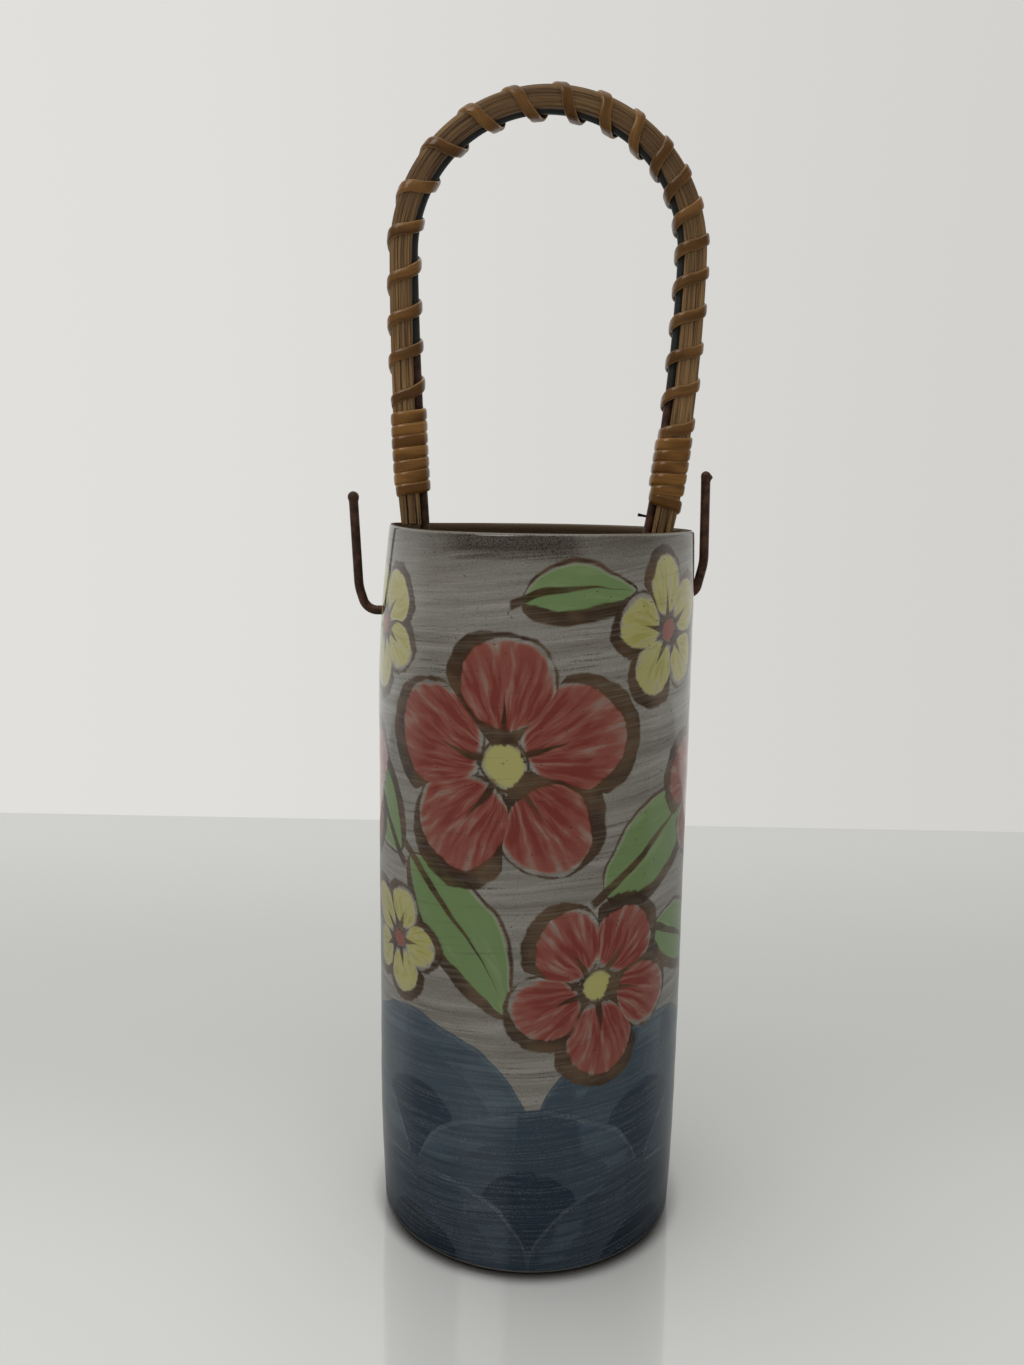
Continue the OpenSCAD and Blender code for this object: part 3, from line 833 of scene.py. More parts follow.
def vase_profile():
    """Half section as (radius, height): up the outside, over the lip, down the inside."""
    lip_x = wall_r(LIP_Z)
    outer_lip, inner_lip = LIP_Z - LIP_OUTER, LIP_Z - LIP_INNER
    foot_z = FOOT_LIFT + FOOT_CORNER
    foot_x = wall_r(foot_z) - FOOT_CORNER
    ring_x = foot_x - FOOT_RING
    outside = np.linspace(foot_z, outer_lip, OUTSIDE_RINGS)[1:-1]
    inner_z = FLOOR_Z + FLOOR_CORNER
    inside = np.linspace(inner_lip, inner_z, INSIDE_RINGS)[1:-1]
    inner_x = wall_r(inner_z) - WALL_T - FLOOR_CORNER
    stretches = [
        [(ring_x - RECESS_FLAT, FOOT_RECESS), (ring_x - RING_SLOPE, FOOT_RECESS)],
        [(ring_x, RING_EASED_H), (ring_x + RING_EASED, 0), (foot_x - FOOT_BEVEL, 0)],
        arc((foot_x, foot_z), FOOT_CORNER, FOOT_SLANT, 0, CORNER_RINGS),
        np.stack([wall_r(outside), outside], axis=-1),
        arc((lip_x - LIP_OUTER, outer_lip), LIP_OUTER, 0, 90, CORNER_RINGS),
        arc((lip_x - WALL_T + LIP_INNER, inner_lip), LIP_INNER, 90, 180, LIP_RINGS),
        np.stack([wall_r(inside) - WALL_T, inside], axis=-1),
        arc((inner_x, inner_z), FLOOR_CORNER, 0, -90, CORNER_RINGS),
        [(inner_x - FLOOR_FLAT, FLOOR_Z)],
    ]
    return np.concatenate([np.asarray(part) for part in stretches])


profile = vase_profile()
print("section drawn through", len(profile), "points")

# %% [markdown]
# Turning the section gives a perfect tube, and no hand-thrown pot is one. Faint finger rings, a slow wobble
# and a slightly oval mouth keep the glaze's reflections alive. On the left the lip leans in and rises a
# little, as if the pot was lifted off the wheel there. It leans in from outside alone, so that the bail's
# feet keep their room inside. A Screw modifier can't do that, so the points are placed in code.

# %% Vase body
AROUND = 224
LEFT_SIDE = 1.5 * np.pi
WALL_FROM = 30.0
# Heights above the foot and below the lip over which the wobble grows
CALM_FOOT, CALM_LIP = 12, 10
FINGER, FINGER_PACE, FINGER_SWAY, FINGER_LAG = 0.02, 0.62, 1.5, 0.4
WOBBLE_R, WOBBLE_PACE = 0.05, 0.11
OVAL, OVAL_LAG = 0.10, 0.7
DENT, DENT_FROM, DENT_WIDE, DENT_CURVE = 2.3, 128.0, 0.75, 1.6
LIP_RISE, LIP_RISE_FROM, LIP_RISE_WIDE, LIP_RISE_CURVE = 0.7, 148.0, 0.6, 2


def on_the_left(angle, z, height_from, wide, curve):
    """1 at the left of the lip, fading round the wall and down it."""
    fall = np.clip((z - height_from) / (LIP_Z - height_from), 0, 1) ** curve
    return fall * np.exp(-((angle - LEFT_SIDE) / wide) ** 2)


def make_vase():
    angle = np.linspace(0, 2 * np.pi, AROUND, endpoint=False)
    r, z = profile[:, :1], profile[:, 1:]
    standing = np.clip(z / CALM_FOOT, 0, 1) * np.clip((LIP_Z - z) / CALM_LIP, 0, 1)
    rings = FINGER * np.sin(z * FINGER_PACE + FINGER_SWAY * np.sin(angle + FINGER_LAG))
    rings = rings + WOBBLE_R * np.sin(z * WOBBLE_PACE + angle)
    oval = OVAL * np.cos(2 * angle + OVAL_LAG) * np.clip(z / LIP_Z, 0, 1)
    outer_share = np.clip((r - wall_r(z)) / WALL_T + 1, 0, 1)
    dent = DENT * outer_share * on_the_left(angle, z, DENT_FROM, DENT_WIDE, DENT_CURVE)
    radius = r + (standing * (rings + oval) - dent) * (r > WALL_FROM)
    z = z + LIP_RISE * on_the_left(angle, z, LIP_RISE_FROM, LIP_RISE_WIDE, LIP_RISE_CURVE)
    places = np.stack([radius * np.sin(angle), -radius * np.cos(angle), z], axis=-1)
    count = len(profile)
    points = [*places.reshape(-1, 3), (0, 0, FOOT_RECESS), (0, 0, FLOOR_Z)]
    faces = wall_faces(count, AROUND)
    bottom, top = count * AROUND, count * AROUND + 1
    faces += [(bottom, (j + 1) % AROUND, j) for j in range(AROUND)]
    last = (count - 1) * AROUND
    faces += [(top, last + j, last + (j + 1) % AROUND) for j in range(AROUND)]
    return new_piece("vase_shell", points, faces)


vase = make_vase()
print("vase turned with", len(vase.data.polygons), "faces")

# %% [markdown]
# The wire passes through two drilled holes. They could be left out, since the wire fills most of them, but
# a real hole shows a dark ring round the wire. A Boolean cut along the line that the bail swings on makes
# both at once, and the cut edges stay crisp while the rest of the wall is shaded smooth.

# %% Holes for the wire
HOLE_R, HOLE_SIDES = 1.35, 40
VASE_SHARP = 38

drill_mesh = bmesh.new()
bmesh.ops.create_cone(drill_mesh, cap_ends=True, segments=HOLE_SIDES,
                      radius1=HOLE_R * MM, radius2=HOLE_R * MM, depth=4 * VASE_R * MM)
drill = new_piece("drill", [(0, 0, 0)], [])
drill_mesh.to_mesh(drill.data)
drill_mesh.free()
along_hinge = Vector(HINGE_AXIS).to_track_quat("Z", "Y").to_matrix().to_4x4()
drill.matrix_world = Matrix.Translation(Vector(HINGE * MM)) @ along_hinge
cut = vase.modifiers.new("holes", "BOOLEAN")
cut.object = drill
cut.operation = "DIFFERENCE"
cut.solver = "EXACT"
bpy.context.view_layer.update()
drilled = bpy.data.meshes.new_from_object(vase.evaluated_get(bpy.context.evaluated_depsgraph_get()))
vase.modifiers.clear()
vase.data = drilled
drilled.name = "vase_shell"
bpy.data.objects.remove(drill)
smooth(vase, VASE_SHARP)
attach(vase, "vase")
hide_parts("vase_body")
print("holes drilled,", len(vase.data.polygons), "faces")

# %% [markdown]
# Bamboo and cane both show long fibres. A Wave texture would repeat like corrugated card, so stretched
# noise draws them instead. It reads the place on the straight strip, and one node group serves splints,
# collars and spiral, each with its own spacing.

# %% Node group for long fibres
PATCH_ALONG, PATCH_ACROSS = 0.07, 0.35
fibre_group, g, start, end = new_group(
    "long_fibres", {"Place": "v", "Spacing": "f", "Stretch": "f"}, {"Lines": "f", "Patches": "f"})
along, through, across = g.split(start["Place"])
per_mm = g.div(1.0, start["Spacing"])
fine = g.vector(g.div(along, start["Stretch"]), g.mul(through, per_mm), g.mul(across, per_mm))
g.plug(end["Lines"], g.noise(fine, detail=3.0, roughness=0.65))
broad = g.vector(g.mul(along, PATCH_ALONG), g.mul(through, PATCH_ACROSS), g.mul(across, PATCH_ACROSS))
g.plug(end["Patches"], g.noise(broad))
print("group made:", fibre_group.name)

# %% [markdown]
# The splints are smoked brown and fibrous where they were split. One brown with a bump would look like
# plastic, so the colour itself follows the fibres: dark lines are open fibres, and wide soft patches are
# where hands have darkened them. Over the top of the arch a painted shade darkens them, where the overhead
# lamp falls hardest.

# %% Bamboo finish
FIBRE_DARK, FIBRE_LIGHT, FIBRE_OPEN = srgb(52, 34, 16), srgb(124, 95, 56), srgb(24, 15, 8)
HANDLED, TOP_PAINTED_SHADE = srgb(84, 58, 31), srgb(48, 30, 14)
# Each layer sets in over a span of its mask, up to a share
FIBRE_SPAN = (0.36, 0.58)
OPEN_SPAN, OPEN_SHARE = (0.38, 0.29), 0.85
HANDLED_SPAN, HANDLED_SHARE = (0.60, 0.38), 0.45
TOP_SHADE_SPAN, TOP_SHADE_SHARE = (62.0, 36.0), 0.42
ROUGH_SPAN, BAMBOO_ROUGH = (0.3, 0.7), (0.62, 0.42)


def straight_place(graph):
    return graph.node("ShaderNodeAttribute", attribute_name="straight").outputs["Vector"]


def add_bump(graph, shader, height, strength, depth_mm):
    settings = {"Height": height, "Strength": strength, "Distance": depth_mm * MM}
    graph.plug(shader["Normal"], graph.node("ShaderNodeBump", settings).outputs["Normal"])


bamboo, g, shader = new_material("smoked_bamboo")
place = straight_place(g)
fibre = g.group(fibre_group, {"Place": place, "Spacing": 0.36, "Stretch": 26.0})
tone = g.layer(FIBRE_DARK, FIBRE_LIGHT, fibre["Lines"], FIBRE_SPAN)
tone = g.layer(tone, FIBRE_OPEN, fibre["Lines"], OPEN_SPAN, OPEN_SHARE)
tone = g.layer(tone, HANDLED, fibre["Patches"], HANDLED_SPAN, HANDLED_SHARE)
from_top = g.size(g.sub(g.split(place)[0], BAIL_LEN / 2))
# Painted shade: the splints are darkened over the top of the arch, where the overhead lamp falls hardest.
tone = g.layer(tone, TOP_PAINTED_SHADE, from_top, TOP_SHADE_SPAN, TOP_SHADE_SHARE)
g.plug(shader["Base Color"], tone)
g.plug(shader["Roughness"], g.step(fibre["Lines"], *ROUGH_SPAN, *BAMBOO_ROUGH))
shader["Specular IOR Level"].default_value = 0.28
add_bump(g, shader, fibre["Lines"], strength=0.5, depth_mm=0.12)
for piece in splints:
    piece.data.materials.append(bamboo)
print("bamboo finish on", len(splints), "splints")

# %% [markdown]
# Cane keeps its hard, glossy skin in the middle of the strip and shows paler fibre along both cut edges.
# Edge wear is often found from the mesh's sharpness, but here the place across the strip says exactly
# where an edge is. The spiral over the top gets darker tones than the collars, as painted shade where the
# overhead lamp falls hardest, so the finish takes its tones.

# %% Cane finish
CANE_FIBRE = srgb(58, 34, 12)
COLLAR_TONES = (srgb(84, 54, 20), srgb(121, 84, 38), srgb(146, 112, 70))
# Darker tones for the spiral: painted shade over the top of the bail, where the overhead lamp falls hardest.
SHADED_SPIRAL_TONES = (srgb(74, 48, 20), srgb(105, 73, 36), srgb(128, 98, 62))
SKIN_SPAN = (0.35, 0.65)
CANE_FIBRE_SPAN, CANE_FIBRE_SHARE = (0.55, 0.3), 0.55
EDGE_SPAN, EDGE_SHARE = (0.86, 1.0), 0.7
CANE_ROUGH = (0.30, 0.14)


def cane_finish(name, dark, light, edge_tone):
    """A glossy skin between two tones, with a paler cut edge."""
    finish, g, shader = new_material(name)
    place = straight_place(g)
    fibre = g.group(fibre_group, {"Place": place, "Spacing": 0.16, "Stretch": 18.0})
    tone = g.layer(dark, light, fibre["Patches"], SKIN_SPAN)
    tone = g.layer(tone, CANE_FIBRE, fibre["Lines"], CANE_FIBRE_SPAN, CANE_FIBRE_SHARE)
    tone = g.layer(tone, edge_tone, g.size(g.split(place)[2]), EDGE_SPAN, EDGE_SHARE)
    g.plug(shader["Base Color"], tone)
    g.plug(shader["Roughness"], g.step(fibre["Lines"], *ROUGH_SPAN, *CANE_ROUGH))
    shader["Specular IOR Level"].default_value = 0.42
    add_bump(g, shader, fibre["Lines"], strength=0.35, depth_mm=0.06)
    return finish


collar_cane = cane_finish("split_cane", *COLLAR_TONES)
# The spiral's finish is a shaded copy of the collars' cane.
spiral_cane = cane_finish("shaded_cane", *SHADED_SPIRAL_TONES)
for piece in canes:
    piece.data.materials.append(spiral_cane if piece == spiral else collar_cane)
print("cane finish on", len(canes), "windings")

# %% [markdown]
# The wire is a copper alloy whose patina is a dark reddish brown, and greenish black higher up, where the
# cane has kept hands off it. A metallic shader would shine through, but a patina is a dull skin on the
# metal, so it is made as a plain, blotched surface. The cut tie end is nearly black.

# %% Wire finish
BROWN_PATINA = (srgb(44, 25, 15), srgb(72, 46, 32))
BLACK_PATINA = (srgb(12, 9, 8), srgb(24, 19, 17))
BLOTCH_SPAN, PATINA_ROUGH = (0.35, 0.65), (0.56, 0.40)
HIGH_PATINA, HIGH_SPAN = srgb(36, 39, 37), (LIP_Z + 38, LIP_Z + 43)
HIGH_SLANT, HIGH_RAGGED = 0.13, 8.0


def wire_finish(name, dark, light):
    """A blotched patina between two tones."""
    finish, g, shader = new_material(name)
    spot = g.place_mm()
    blotch = g.noise(spot, scale=0.55, detail=4.0, roughness=0.65)
    tone = g.layer(dark, light, blotch, BLOTCH_SPAN)
    x, _, z = g.split(spot)
    high = g.add(g.add(z, g.mul(x, HIGH_SLANT)), g.mul(blotch, HIGH_RAGGED))
    g.plug(shader["Base Color"], g.layer(tone, HIGH_PATINA, high, HIGH_SPAN))
    g.plug(shader["Roughness"], g.step(blotch, *ROUGH_SPAN, *PATINA_ROUGH))
    shader["Specular IOR Level"].default_value = 0.28
    add_bump(g, shader, blotch, strength=0.25, depth_mm=0.1)
    return finish


wire.data.materials.append(wire_finish("brown_patina", *BROWN_PATINA))
tie_end.data.materials.append(wire_finish("black_patina", *BLACK_PATINA))
print("wire finish on", wire.name, "and", tie_end.name)

# %% [markdown]
# The vase is painted by hand all round. An image wrapped round it would do, but nodes stay sharp at any
# distance. Everything is drawn by its place on the wall: how far round it in millimetres from the middle of
# the front, and how high. The painting repeats once, front and back. A slow wobble is added to the place
# before anything is drawn, so that no line is ruled and no two flowers are alike.

# %% Node group for places on the vase
REPEAT = math.pi * VASE_R
WOBBLE, WOBBLE_SCALE = 2.4, 0.06
place_group, g, start, end = new_group(
    "places_on_vase", {}, {"Point": "v", "Drawn Around": "f", "Drawn Height": "f"})
spot = g.place_mm()
x, y, z = g.split(spot)
around = g.mul(g.math("ARCTAN2", x, g.mul(y, -1.0)), VASE_R)
shake = g.node("ShaderNodeTexNoise", {"Vector": spot, "Scale": WOBBLE_SCALE, "Detail": 2.0})
shake_around, shake_height, _ = g.split(shake.outputs["Color"])
g.plug(end["Point"], spot)
g.plug(end["Drawn Around"], g.add(around, g.mul(g.sub(shake_around, 0.5), 2 * WOBBLE)))
g.plug(end["Drawn Height"], g.add(z, g.mul(g.sub(shake_height, 0.5), 2 * WOBBLE)))
print("group made:", place_group.name)

# %% [markdown]
# A blossom is drawn as a brush would: five round petals, each with a stroke that swells on one side and
# thins out on the other, and a wash of colour laid inside it without quite reaching the line. Five circles
# would need five sets of nodes. Folding the angle five times draws all the petals with one circle, and
# the number of the fold makes each petal a little unlike the others.

# %% Node group for a blossom
MOTIF = {"Around": "f", "Height": "f", "Place Around": "f", "Place Height": "f"}
PETALS = 5
PETAL_OUT, PETAL_R, PETAL_UNLIKE = 0.57, 0.40, 0.025
OWN_PETAL, OWN_TURN = 2.4, 5.0
SWELL_OWN, SWELL_FROM, SWELL_SPAN = 1.3, 0.6, (-0.9, 0.9)
HAIRS_ROUND, HAIRS_OUT, HAIRS = 6.0, 1.8, 1.6
# Distances from an edge, in millimetres, over which a shape, a wash or a line sets in
SHAPE_EDGE, WASH_IN = (0.6, -0.2), (-0.4, -2.0)
LINE_EDGE, VEIN_EDGE, RING_EDGE = (0.35, -0.25), (0.25, -0.2), (0.3, -0.2)
WASH_HAIRS, WASH_LEAST = (0.26, 0.66), 0.30
WASH_FADES, WASH_OUTER = (1.05, 0.45), 0.60
PETAL_LINE, LINE_DRY, LINE_RAGGED = 0.062, 0.36, 1.4
VEIN_THINS, VEIN_HALF = (0.52, 0.2), (0.05, 0.75)
VEIN_TIP, VEIN_ROOT = (0.54, 0.46), (0.13, 0.18)
HEART_OUT, HEART_IN = 0.17, 0.12
RING_HALF, RING_SWELL = 0.25, 0.6


def wrapped(graph, value):
    """A distance round the vase, taken to the nearest repeat of the painting."""
    return graph.math("WRAP", value, REPEAT / 2, -REPEAT / 2)


def from_motif(graph, start):
    """How far to the right of a motif's place, and how far above it."""
    right = wrapped(graph, graph.sub(start["Around"], start["Place Around"]))
    return right, graph.sub(start["Height"], start["Place Height"])


flower_group, g, start, end = new_group(
    "brushed_blossom", {**MOTIF, "Size": "f", "Turn": "f"},
    {"Shape": "f", "Fill": "f", "Line": "f", "Heart": "f"})
right, up = from_motif(g, start)
out = g.div(g.hypot(right, up), start["Size"])
turn = g.add(g.math("ARCTAN2", up, right), start["Turn"])
count = g.mul(turn, PETALS / (2 * math.pi))
petal = g.math("FLOOR", count)
fold = g.mul(g.sub(g.sub(count, petal), 0.5), 2 * math.pi / PETALS)
along = g.sub(g.mul(out, g.math("COSINE", fold)), PETAL_OUT)
side = g.mul(out, g.math("SINE", fold))
own = g.math("SINE", g.add(g.mul(petal, OWN_PETAL), g.mul(start["Turn"], OWN_TURN)))
edge = g.sub(g.hypot(along, side), g.add(PETAL_R, g.mul(own, PETAL_UNLIKE)))
edge_mm = g.mul(edge, start["Size"])
swell_at = g.add(g.math("ARCTAN2", side, along), g.add(g.mul(own, SWELL_OWN), SWELL_FROM))
swell = g.step(g.math("SINE", swell_at), *SWELL_SPAN)
hairs = g.noise(g.vector(g.mul(turn, HAIRS_ROUND), g.mul(out, HAIRS_OUT), start["Size"]), scale=HAIRS)
g.plug(end["Shape"], g.step(edge_mm, *SHAPE_EDGE))
wash = g.mul(g.step(edge_mm, *WASH_IN), g.step(hairs, *WASH_HAIRS, WASH_LEAST, 1.0))
g.plug(end["Fill"], g.mul(wash, g.step(out, *WASH_FADES, WASH_OUTER, 1.0)))
half = g.mul(swell, g.mul(start["Size"], PETAL_LINE))
half = g.add(half, g.mul(g.sub(hairs, LINE_DRY), LINE_RAGGED))
stroke = g.step(g.sub(g.size(edge_mm), half), *LINE_EDGE)
vein_half = g.step(out, *VEIN_THINS, *VEIN_HALF)
vein = g.step(g.sub(g.mul(g.size(side), start["Size"]), vein_half), *VEIN_EDGE)
vein = g.mul(vein, g.mul(g.step(out, *VEIN_TIP), g.step(out, *VEIN_ROOT)))
off_ring = g.size(g.mul(g.sub(out, HEART_OUT), start["Size"]))
ring = g.step(g.sub(off_ring, g.add(RING_HALF, g.mul(swell, RING_SWELL))), *RING_EDGE)
g.plug(end["Line"], g.largest(stroke, vein, ring))
g.plug(end["Heart"], g.step(out, HEART_OUT, HEART_IN))
print("group made:", flower_group.name)

# %% [markdown]
# A leaf is one loaded stroke: pointed at both ends, heavier along its lower edge, with a midrib that
# starts thick at the stalk and runs out before the tip. It could be cut from two circles, but a width that
# shrinks along the leaf gives one formula for its edge, so the stroke can follow it.

# %% Node group for a leaf
LEAF_SLIM, LEAF_TAPER, LEAF_BLUNT, LEAF_BOW = 0.44, 0.22, 0.72, 0.10
LEAF_ENDS, STROKE_ENDS = (1.0, 0.94), (1.04, 0.97)
LEAF_HAIRS_ALONG, LEAF_HAIRS_ACROSS = 0.9, 5.0
LEAF_EDGE, LEAF_WASH_IN = (0.5, -0.2), (-0.4, -1.5)
LEAF_WASH_HAIRS, LEAF_WASH_LEAST = (0.2, 0.6), 0.6
LEAF_LINE, LEAF_HEAVY, HEAVY_SIDE = 0.25, 1.15, (0.1, -0.3)
LEAF_DRY, LEAF_RAGGED = 0.45, 1.3
RIB_THINS, RIB_WAVER = (0.85, -1.0), 0.03
RIB_TIP, RIB_STALK = (0.86, 0.74), (-1.2, -1.14)

leaf_group, g, start, end = new_group(
    "brushed_leaf", {**MOTIF, "Length": "f", "Turn": "f"}, {"Shape": "f", "Fill": "f", "Line": "f"})
right, up = from_motif(g, start)
cos, sin = g.math("COSINE", start["Turn"]), g.math("SINE", start["Turn"])
along = g.div(g.add(g.mul(right, cos), g.mul(up, sin)), start["Length"])
side = g.div(g.sub(g.mul(up, cos), g.mul(right, sin)), start["Length"])
side = g.add(side, g.mul(g.mul(along, along), LEAF_BOW))
room = g.math("POWER", g.largest(g.sub(1.0, g.mul(along, along)), 0.0), LEAF_BLUNT)
room = g.mul(room, g.mul(g.sub(1.0, g.mul(along, LEAF_TAPER)), LEAF_SLIM))
edge_mm = g.mul(g.sub(g.size(side), room), start["Length"])
inside = g.step(g.size(along), *LEAF_ENDS)
hairs = g.vector(g.mul(along, LEAF_HAIRS_ALONG), g.mul(side, LEAF_HAIRS_ACROSS), start["Length"])
hairs = g.noise(hairs, scale=1.5, detail=3.0, roughness=0.6)
g.plug(end["Shape"], g.mul(g.step(edge_mm, *LEAF_EDGE), inside))
wash = g.mul(g.step(edge_mm, *LEAF_WASH_IN), inside)
g.plug(end["Fill"], g.mul(wash, g.step(hairs, *LEAF_WASH_HAIRS, LEAF_WASH_LEAST, 1.0)))
half = g.add(LEAF_LINE, g.mul(g.step(side, *HEAVY_SIDE), LEAF_HEAVY))
half = g.add(half, g.mul(g.sub(hairs, LEAF_DRY), LEAF_RAGGED))
stroke = g.step(g.sub(g.size(edge_mm), half), *LINE_EDGE)
stroke = g.mul(stroke, g.step(g.size(along), *STROKE_ENDS))
off_rib = g.mul(g.size(g.sub(side, g.mul(hairs, RIB_WAVER))), start["Length"])
rib = g.step(g.sub(off_rib, g.step(along, *RIB_THINS)), *VEIN_EDGE)
rib = g.mul(rib, g.mul(g.step(along, *RIB_TIP), g.step(along, *RIB_STALK)))
g.plug(end["Line"], g.largest(stroke, rib))
print("group made:", leaf_group.name)

# %% [markdown]
# Round the foot runs a band of waves in the old overlapping-scales pattern, in thin blue washes. Three
# rows lap over each other, darker towards the foot. Each scale is laid in three washes, one inside the
# other, and its crest keeps a pale edge where the brush ran dry. A tiled texture would repeat to the dot,
# while a group that draws one row can be given another height and shift for each.

# %% Node group for the waves
SCALES = 4
COVER_EDGE = (-0.2, 0.2)
WASHES, WASH_EDGE = (0.72, 0.40), 0.012
CREST_IN, CREST_W, CREST_SOFT = 0.9, 0.8, 0.4

wave_group, g, start, end = new_group(
    "lapping_waves", {"Around": "f", "Height": "f", "Top": "f", "Rise": "f", "Shift": "f"},
    {"Cover": "f", "Crest": "f", "Wash": "f"})
scale_w = 2 * math.pi * VASE_R / SCALES
across = g.math("WRAP", g.add(start["Around"], g.mul(start["Shift"], scale_w)), scale_w / 2, -scale_w / 2)
share = g.div(across, scale_w / 2)
bow = g.math("SQRT", g.largest(g.sub(1.0, g.mul(share, share)), 0.0))
depth = g.sub(g.add(start["Top"], g.mul(g.sub(bow, 1.0), start["Rise"])), start["Height"])
g.plug(end["Cover"], g.step(depth, *COVER_EDGE))
g.plug(end["Crest"], g.step(g.size(g.sub(depth, CREST_IN)), CREST_W, CREST_W * CREST_SOFT))
middle = g.sub(start["Height"], g.sub(start["Top"], start["Rise"]))
ripple = g.hypot(share, g.div(middle, start["Rise"]))
second, third = (g.step(ripple, reach + WASH_EDGE, reach - WASH_EDGE, 0.0, 0.5) for reach in WASHES)
g.plug(end["Wash"], g.add(second, third))
print("group made:", wave_group.name)

# %% [markdown]
# Under the painting lies white slip, swept on with a coarse brush while the pot turned. It lies in
# ridges, the dark clay shows in the furrows between them, and its iron grains pepper all that lies over it.
# Plain noise would look like stone. Here noise is squeezed in height and stretched round the wall, on a
# slight slope, and a broader noise makes the strokes waver.

# %% Node group for brushed slip
PEPPER = 3.2
WAVER = 6.0
# Scales of noise round the wall and up it: the smaller, the longer
DRIFT_ROUND, DRIFT_UP = 0.018, 0.03
STREAK_ROUND, STREAK_UP = 0.022, 0.45
FURROW_ROUND, FURROW_UP = 0.05, 2.0


def brushed(graph, x, y, height, round_scale, up_scale, **detail):
    """Noise that is drawn out round the wall."""
    sideways = (graph.mul(x, round_scale), graph.mul(y, round_scale))
    return graph.noise(graph.vector(*sideways, graph.mul(height, up_scale)), **detail)


slip_group, g, start, end = new_group(
    "brushed_slip", {"Point": "v", "Slope": "f"},
    {"Streaks": "f", "Furrows": "f", "Drift": "f", "Pepper": "f"})
x, y, z = g.split(start["Point"])
drift = brushed(g, x, y, z, DRIFT_ROUND, DRIFT_UP)
level = g.add(g.sub(z, g.mul(x, start["Slope"])), g.mul(drift, WAVER))
g.plug(end["Streaks"], brushed(g, x, y, level, STREAK_ROUND, STREAK_UP, detail=5.0, roughness=0.6))
g.plug(end["Furrows"], brushed(g, x, y, level, FURROW_ROUND, FURROW_UP, detail=3.0, roughness=0.6))
g.plug(end["Drift"], drift)
g.plug(end["Pepper"], g.noise(start["Point"], scale=PEPPER, roughness=0.6))
print("group made:", slip_group.name)

# %% [markdown]
# The glaze gathers all of this in one material, layer over layer, in the order in which the potter laid
# them. First comes the ground: slip over clay, pale ridges, thin scratches where the brush hairs parted,
# and grains of clay. Under the lip the slip is thin, and in the middle of the front it leaves a dark band.

# %% Painted glaze: the slip
CLAY, SLIP, RIDGE = srgb(93, 89, 82), srgb(125, 123, 116), srgb(141, 139, 131)
SCRATCH, BAND = srgb(50, 43, 35), srgb(40, 31, 22)
SLIP_SLOPE, SLIP_SPAN = 0.10, (0.22, 0.74)
RIDGE_SPAN, RIDGE_SHARE = (0.56, 0.72), 0.5
GRAIN_SPAN, GRAIN_SHARE = (0.52, 0.34), 0.26
# Scratches lie in the furrows, are broken up by the grains and fade with the drift of the brush
SCRATCH_SPAN, BROKEN_SPAN = (0.42, 0.28), (0.66, 0.44)
FADED_SPAN, FADED = (0.64, 0.42), 0.3
# Heights below the lip, and distances round the wall
BAND_LOW, BAND_FULL, BAND_RAGGED = 6.0, 3.2, 10.0
BAND_MIDDLE, BAND_ENDS, BAND_SHARE = -6.0, (23.0, 10.0), 0.95
HAZE_LOW, HAZE_FULL, HAZE = 9.0, 1.0, 0.55
BAND_GRAINS, BAND_LEAST = (0.36, 0.62), 0.75

glaze, g, shader = new_material("painted_glaze")
place = g.group(place_group, {})
x, y, z = g.split(place["Point"])
radius = g.hypot(x, y)
slip = g.group(slip_group, {"Point": place["Point"], "Slope": SLIP_SLOPE})
scratches = g.mul(g.step(slip["Furrows"], *SCRATCH_SPAN), g.step(slip["Pepper"], *BROKEN_SPAN))
scratches = g.mul(scratches, g.step(slip["Drift"], *FADED_SPAN, FADED, 1.0))
ground = g.layer(CLAY, SLIP, slip["Streaks"], SLIP_SPAN)
ground = g.layer(ground, RIDGE, slip["Furrows"], RIDGE_SPAN, RIDGE_SHARE)
ground = g.mix(scratches, ground, SCRATCH)
ground = g.layer(ground, SCRATCH, slip["Pepper"], GRAIN_SPAN, GRAIN_SHARE)
uneven_z = g.add(z, g.mul(g.sub(slip["Streaks"], 0.5), BAND_RAGGED))
off_middle = g.size(wrapped(g, g.sub(place["Drawn Around"], BAND_MIDDLE)))
band = g.step(uneven_z, LIP_Z - BAND_LOW, LIP_Z - BAND_FULL)
band = g.mul(band, g.step(off_middle, *BAND_ENDS, 0.0, BAND_SHARE))
band = g.largest(band, g.step(uneven_z, LIP_Z - HAZE_LOW, LIP_Z - HAZE_FULL, 0.0, HAZE))
ground = g.mix(g.mul(band, g.step(slip["Pepper"], *BAND_GRAINS, 1.0, BAND_LEAST)), ground, BAND)
print("slip laid on")

# %% [markdown]
# The waves come next, because the brush went round the foot before it drew the flowers. Each row has a
# light and a deep tone. A flat blue would look printed, so the ridges of the slip thin the colour out, the
# furrows let it pool, and broad laps of the brush lie darker where they cross.

# %% Painted glaze: the waves
# Each row: the height of its crests, their rise and their shift round the foot
WAVES = [(60.0, 27.0, 0.5), (42.0, 26.0, 0.0), (24.0, 24.0, 0.5)]
WAVE_TONES = [(srgb(64, 76, 84), srgb(28, 41, 53)), (srgb(56, 68, 78), srgb(20, 33, 46)),
              (srgb(48, 60, 71), srgb(10, 23, 35))]
CREST, CREST_SHARE, CREST_DRY = srgb(86, 95, 98), 0.15, 0.5
DRY_FURROWS, DRY_GRAINS, DRY_SHARE = (0.42, 0.62), (0.40, 0.60), 0.4
LAP_ROUND, LAP_UP, LAP_SPAN = 0.09, 0.02, (0.46, 0.58)
POOL_SPAN, POOL_SHARE = (0.62, 0.38), 0.6

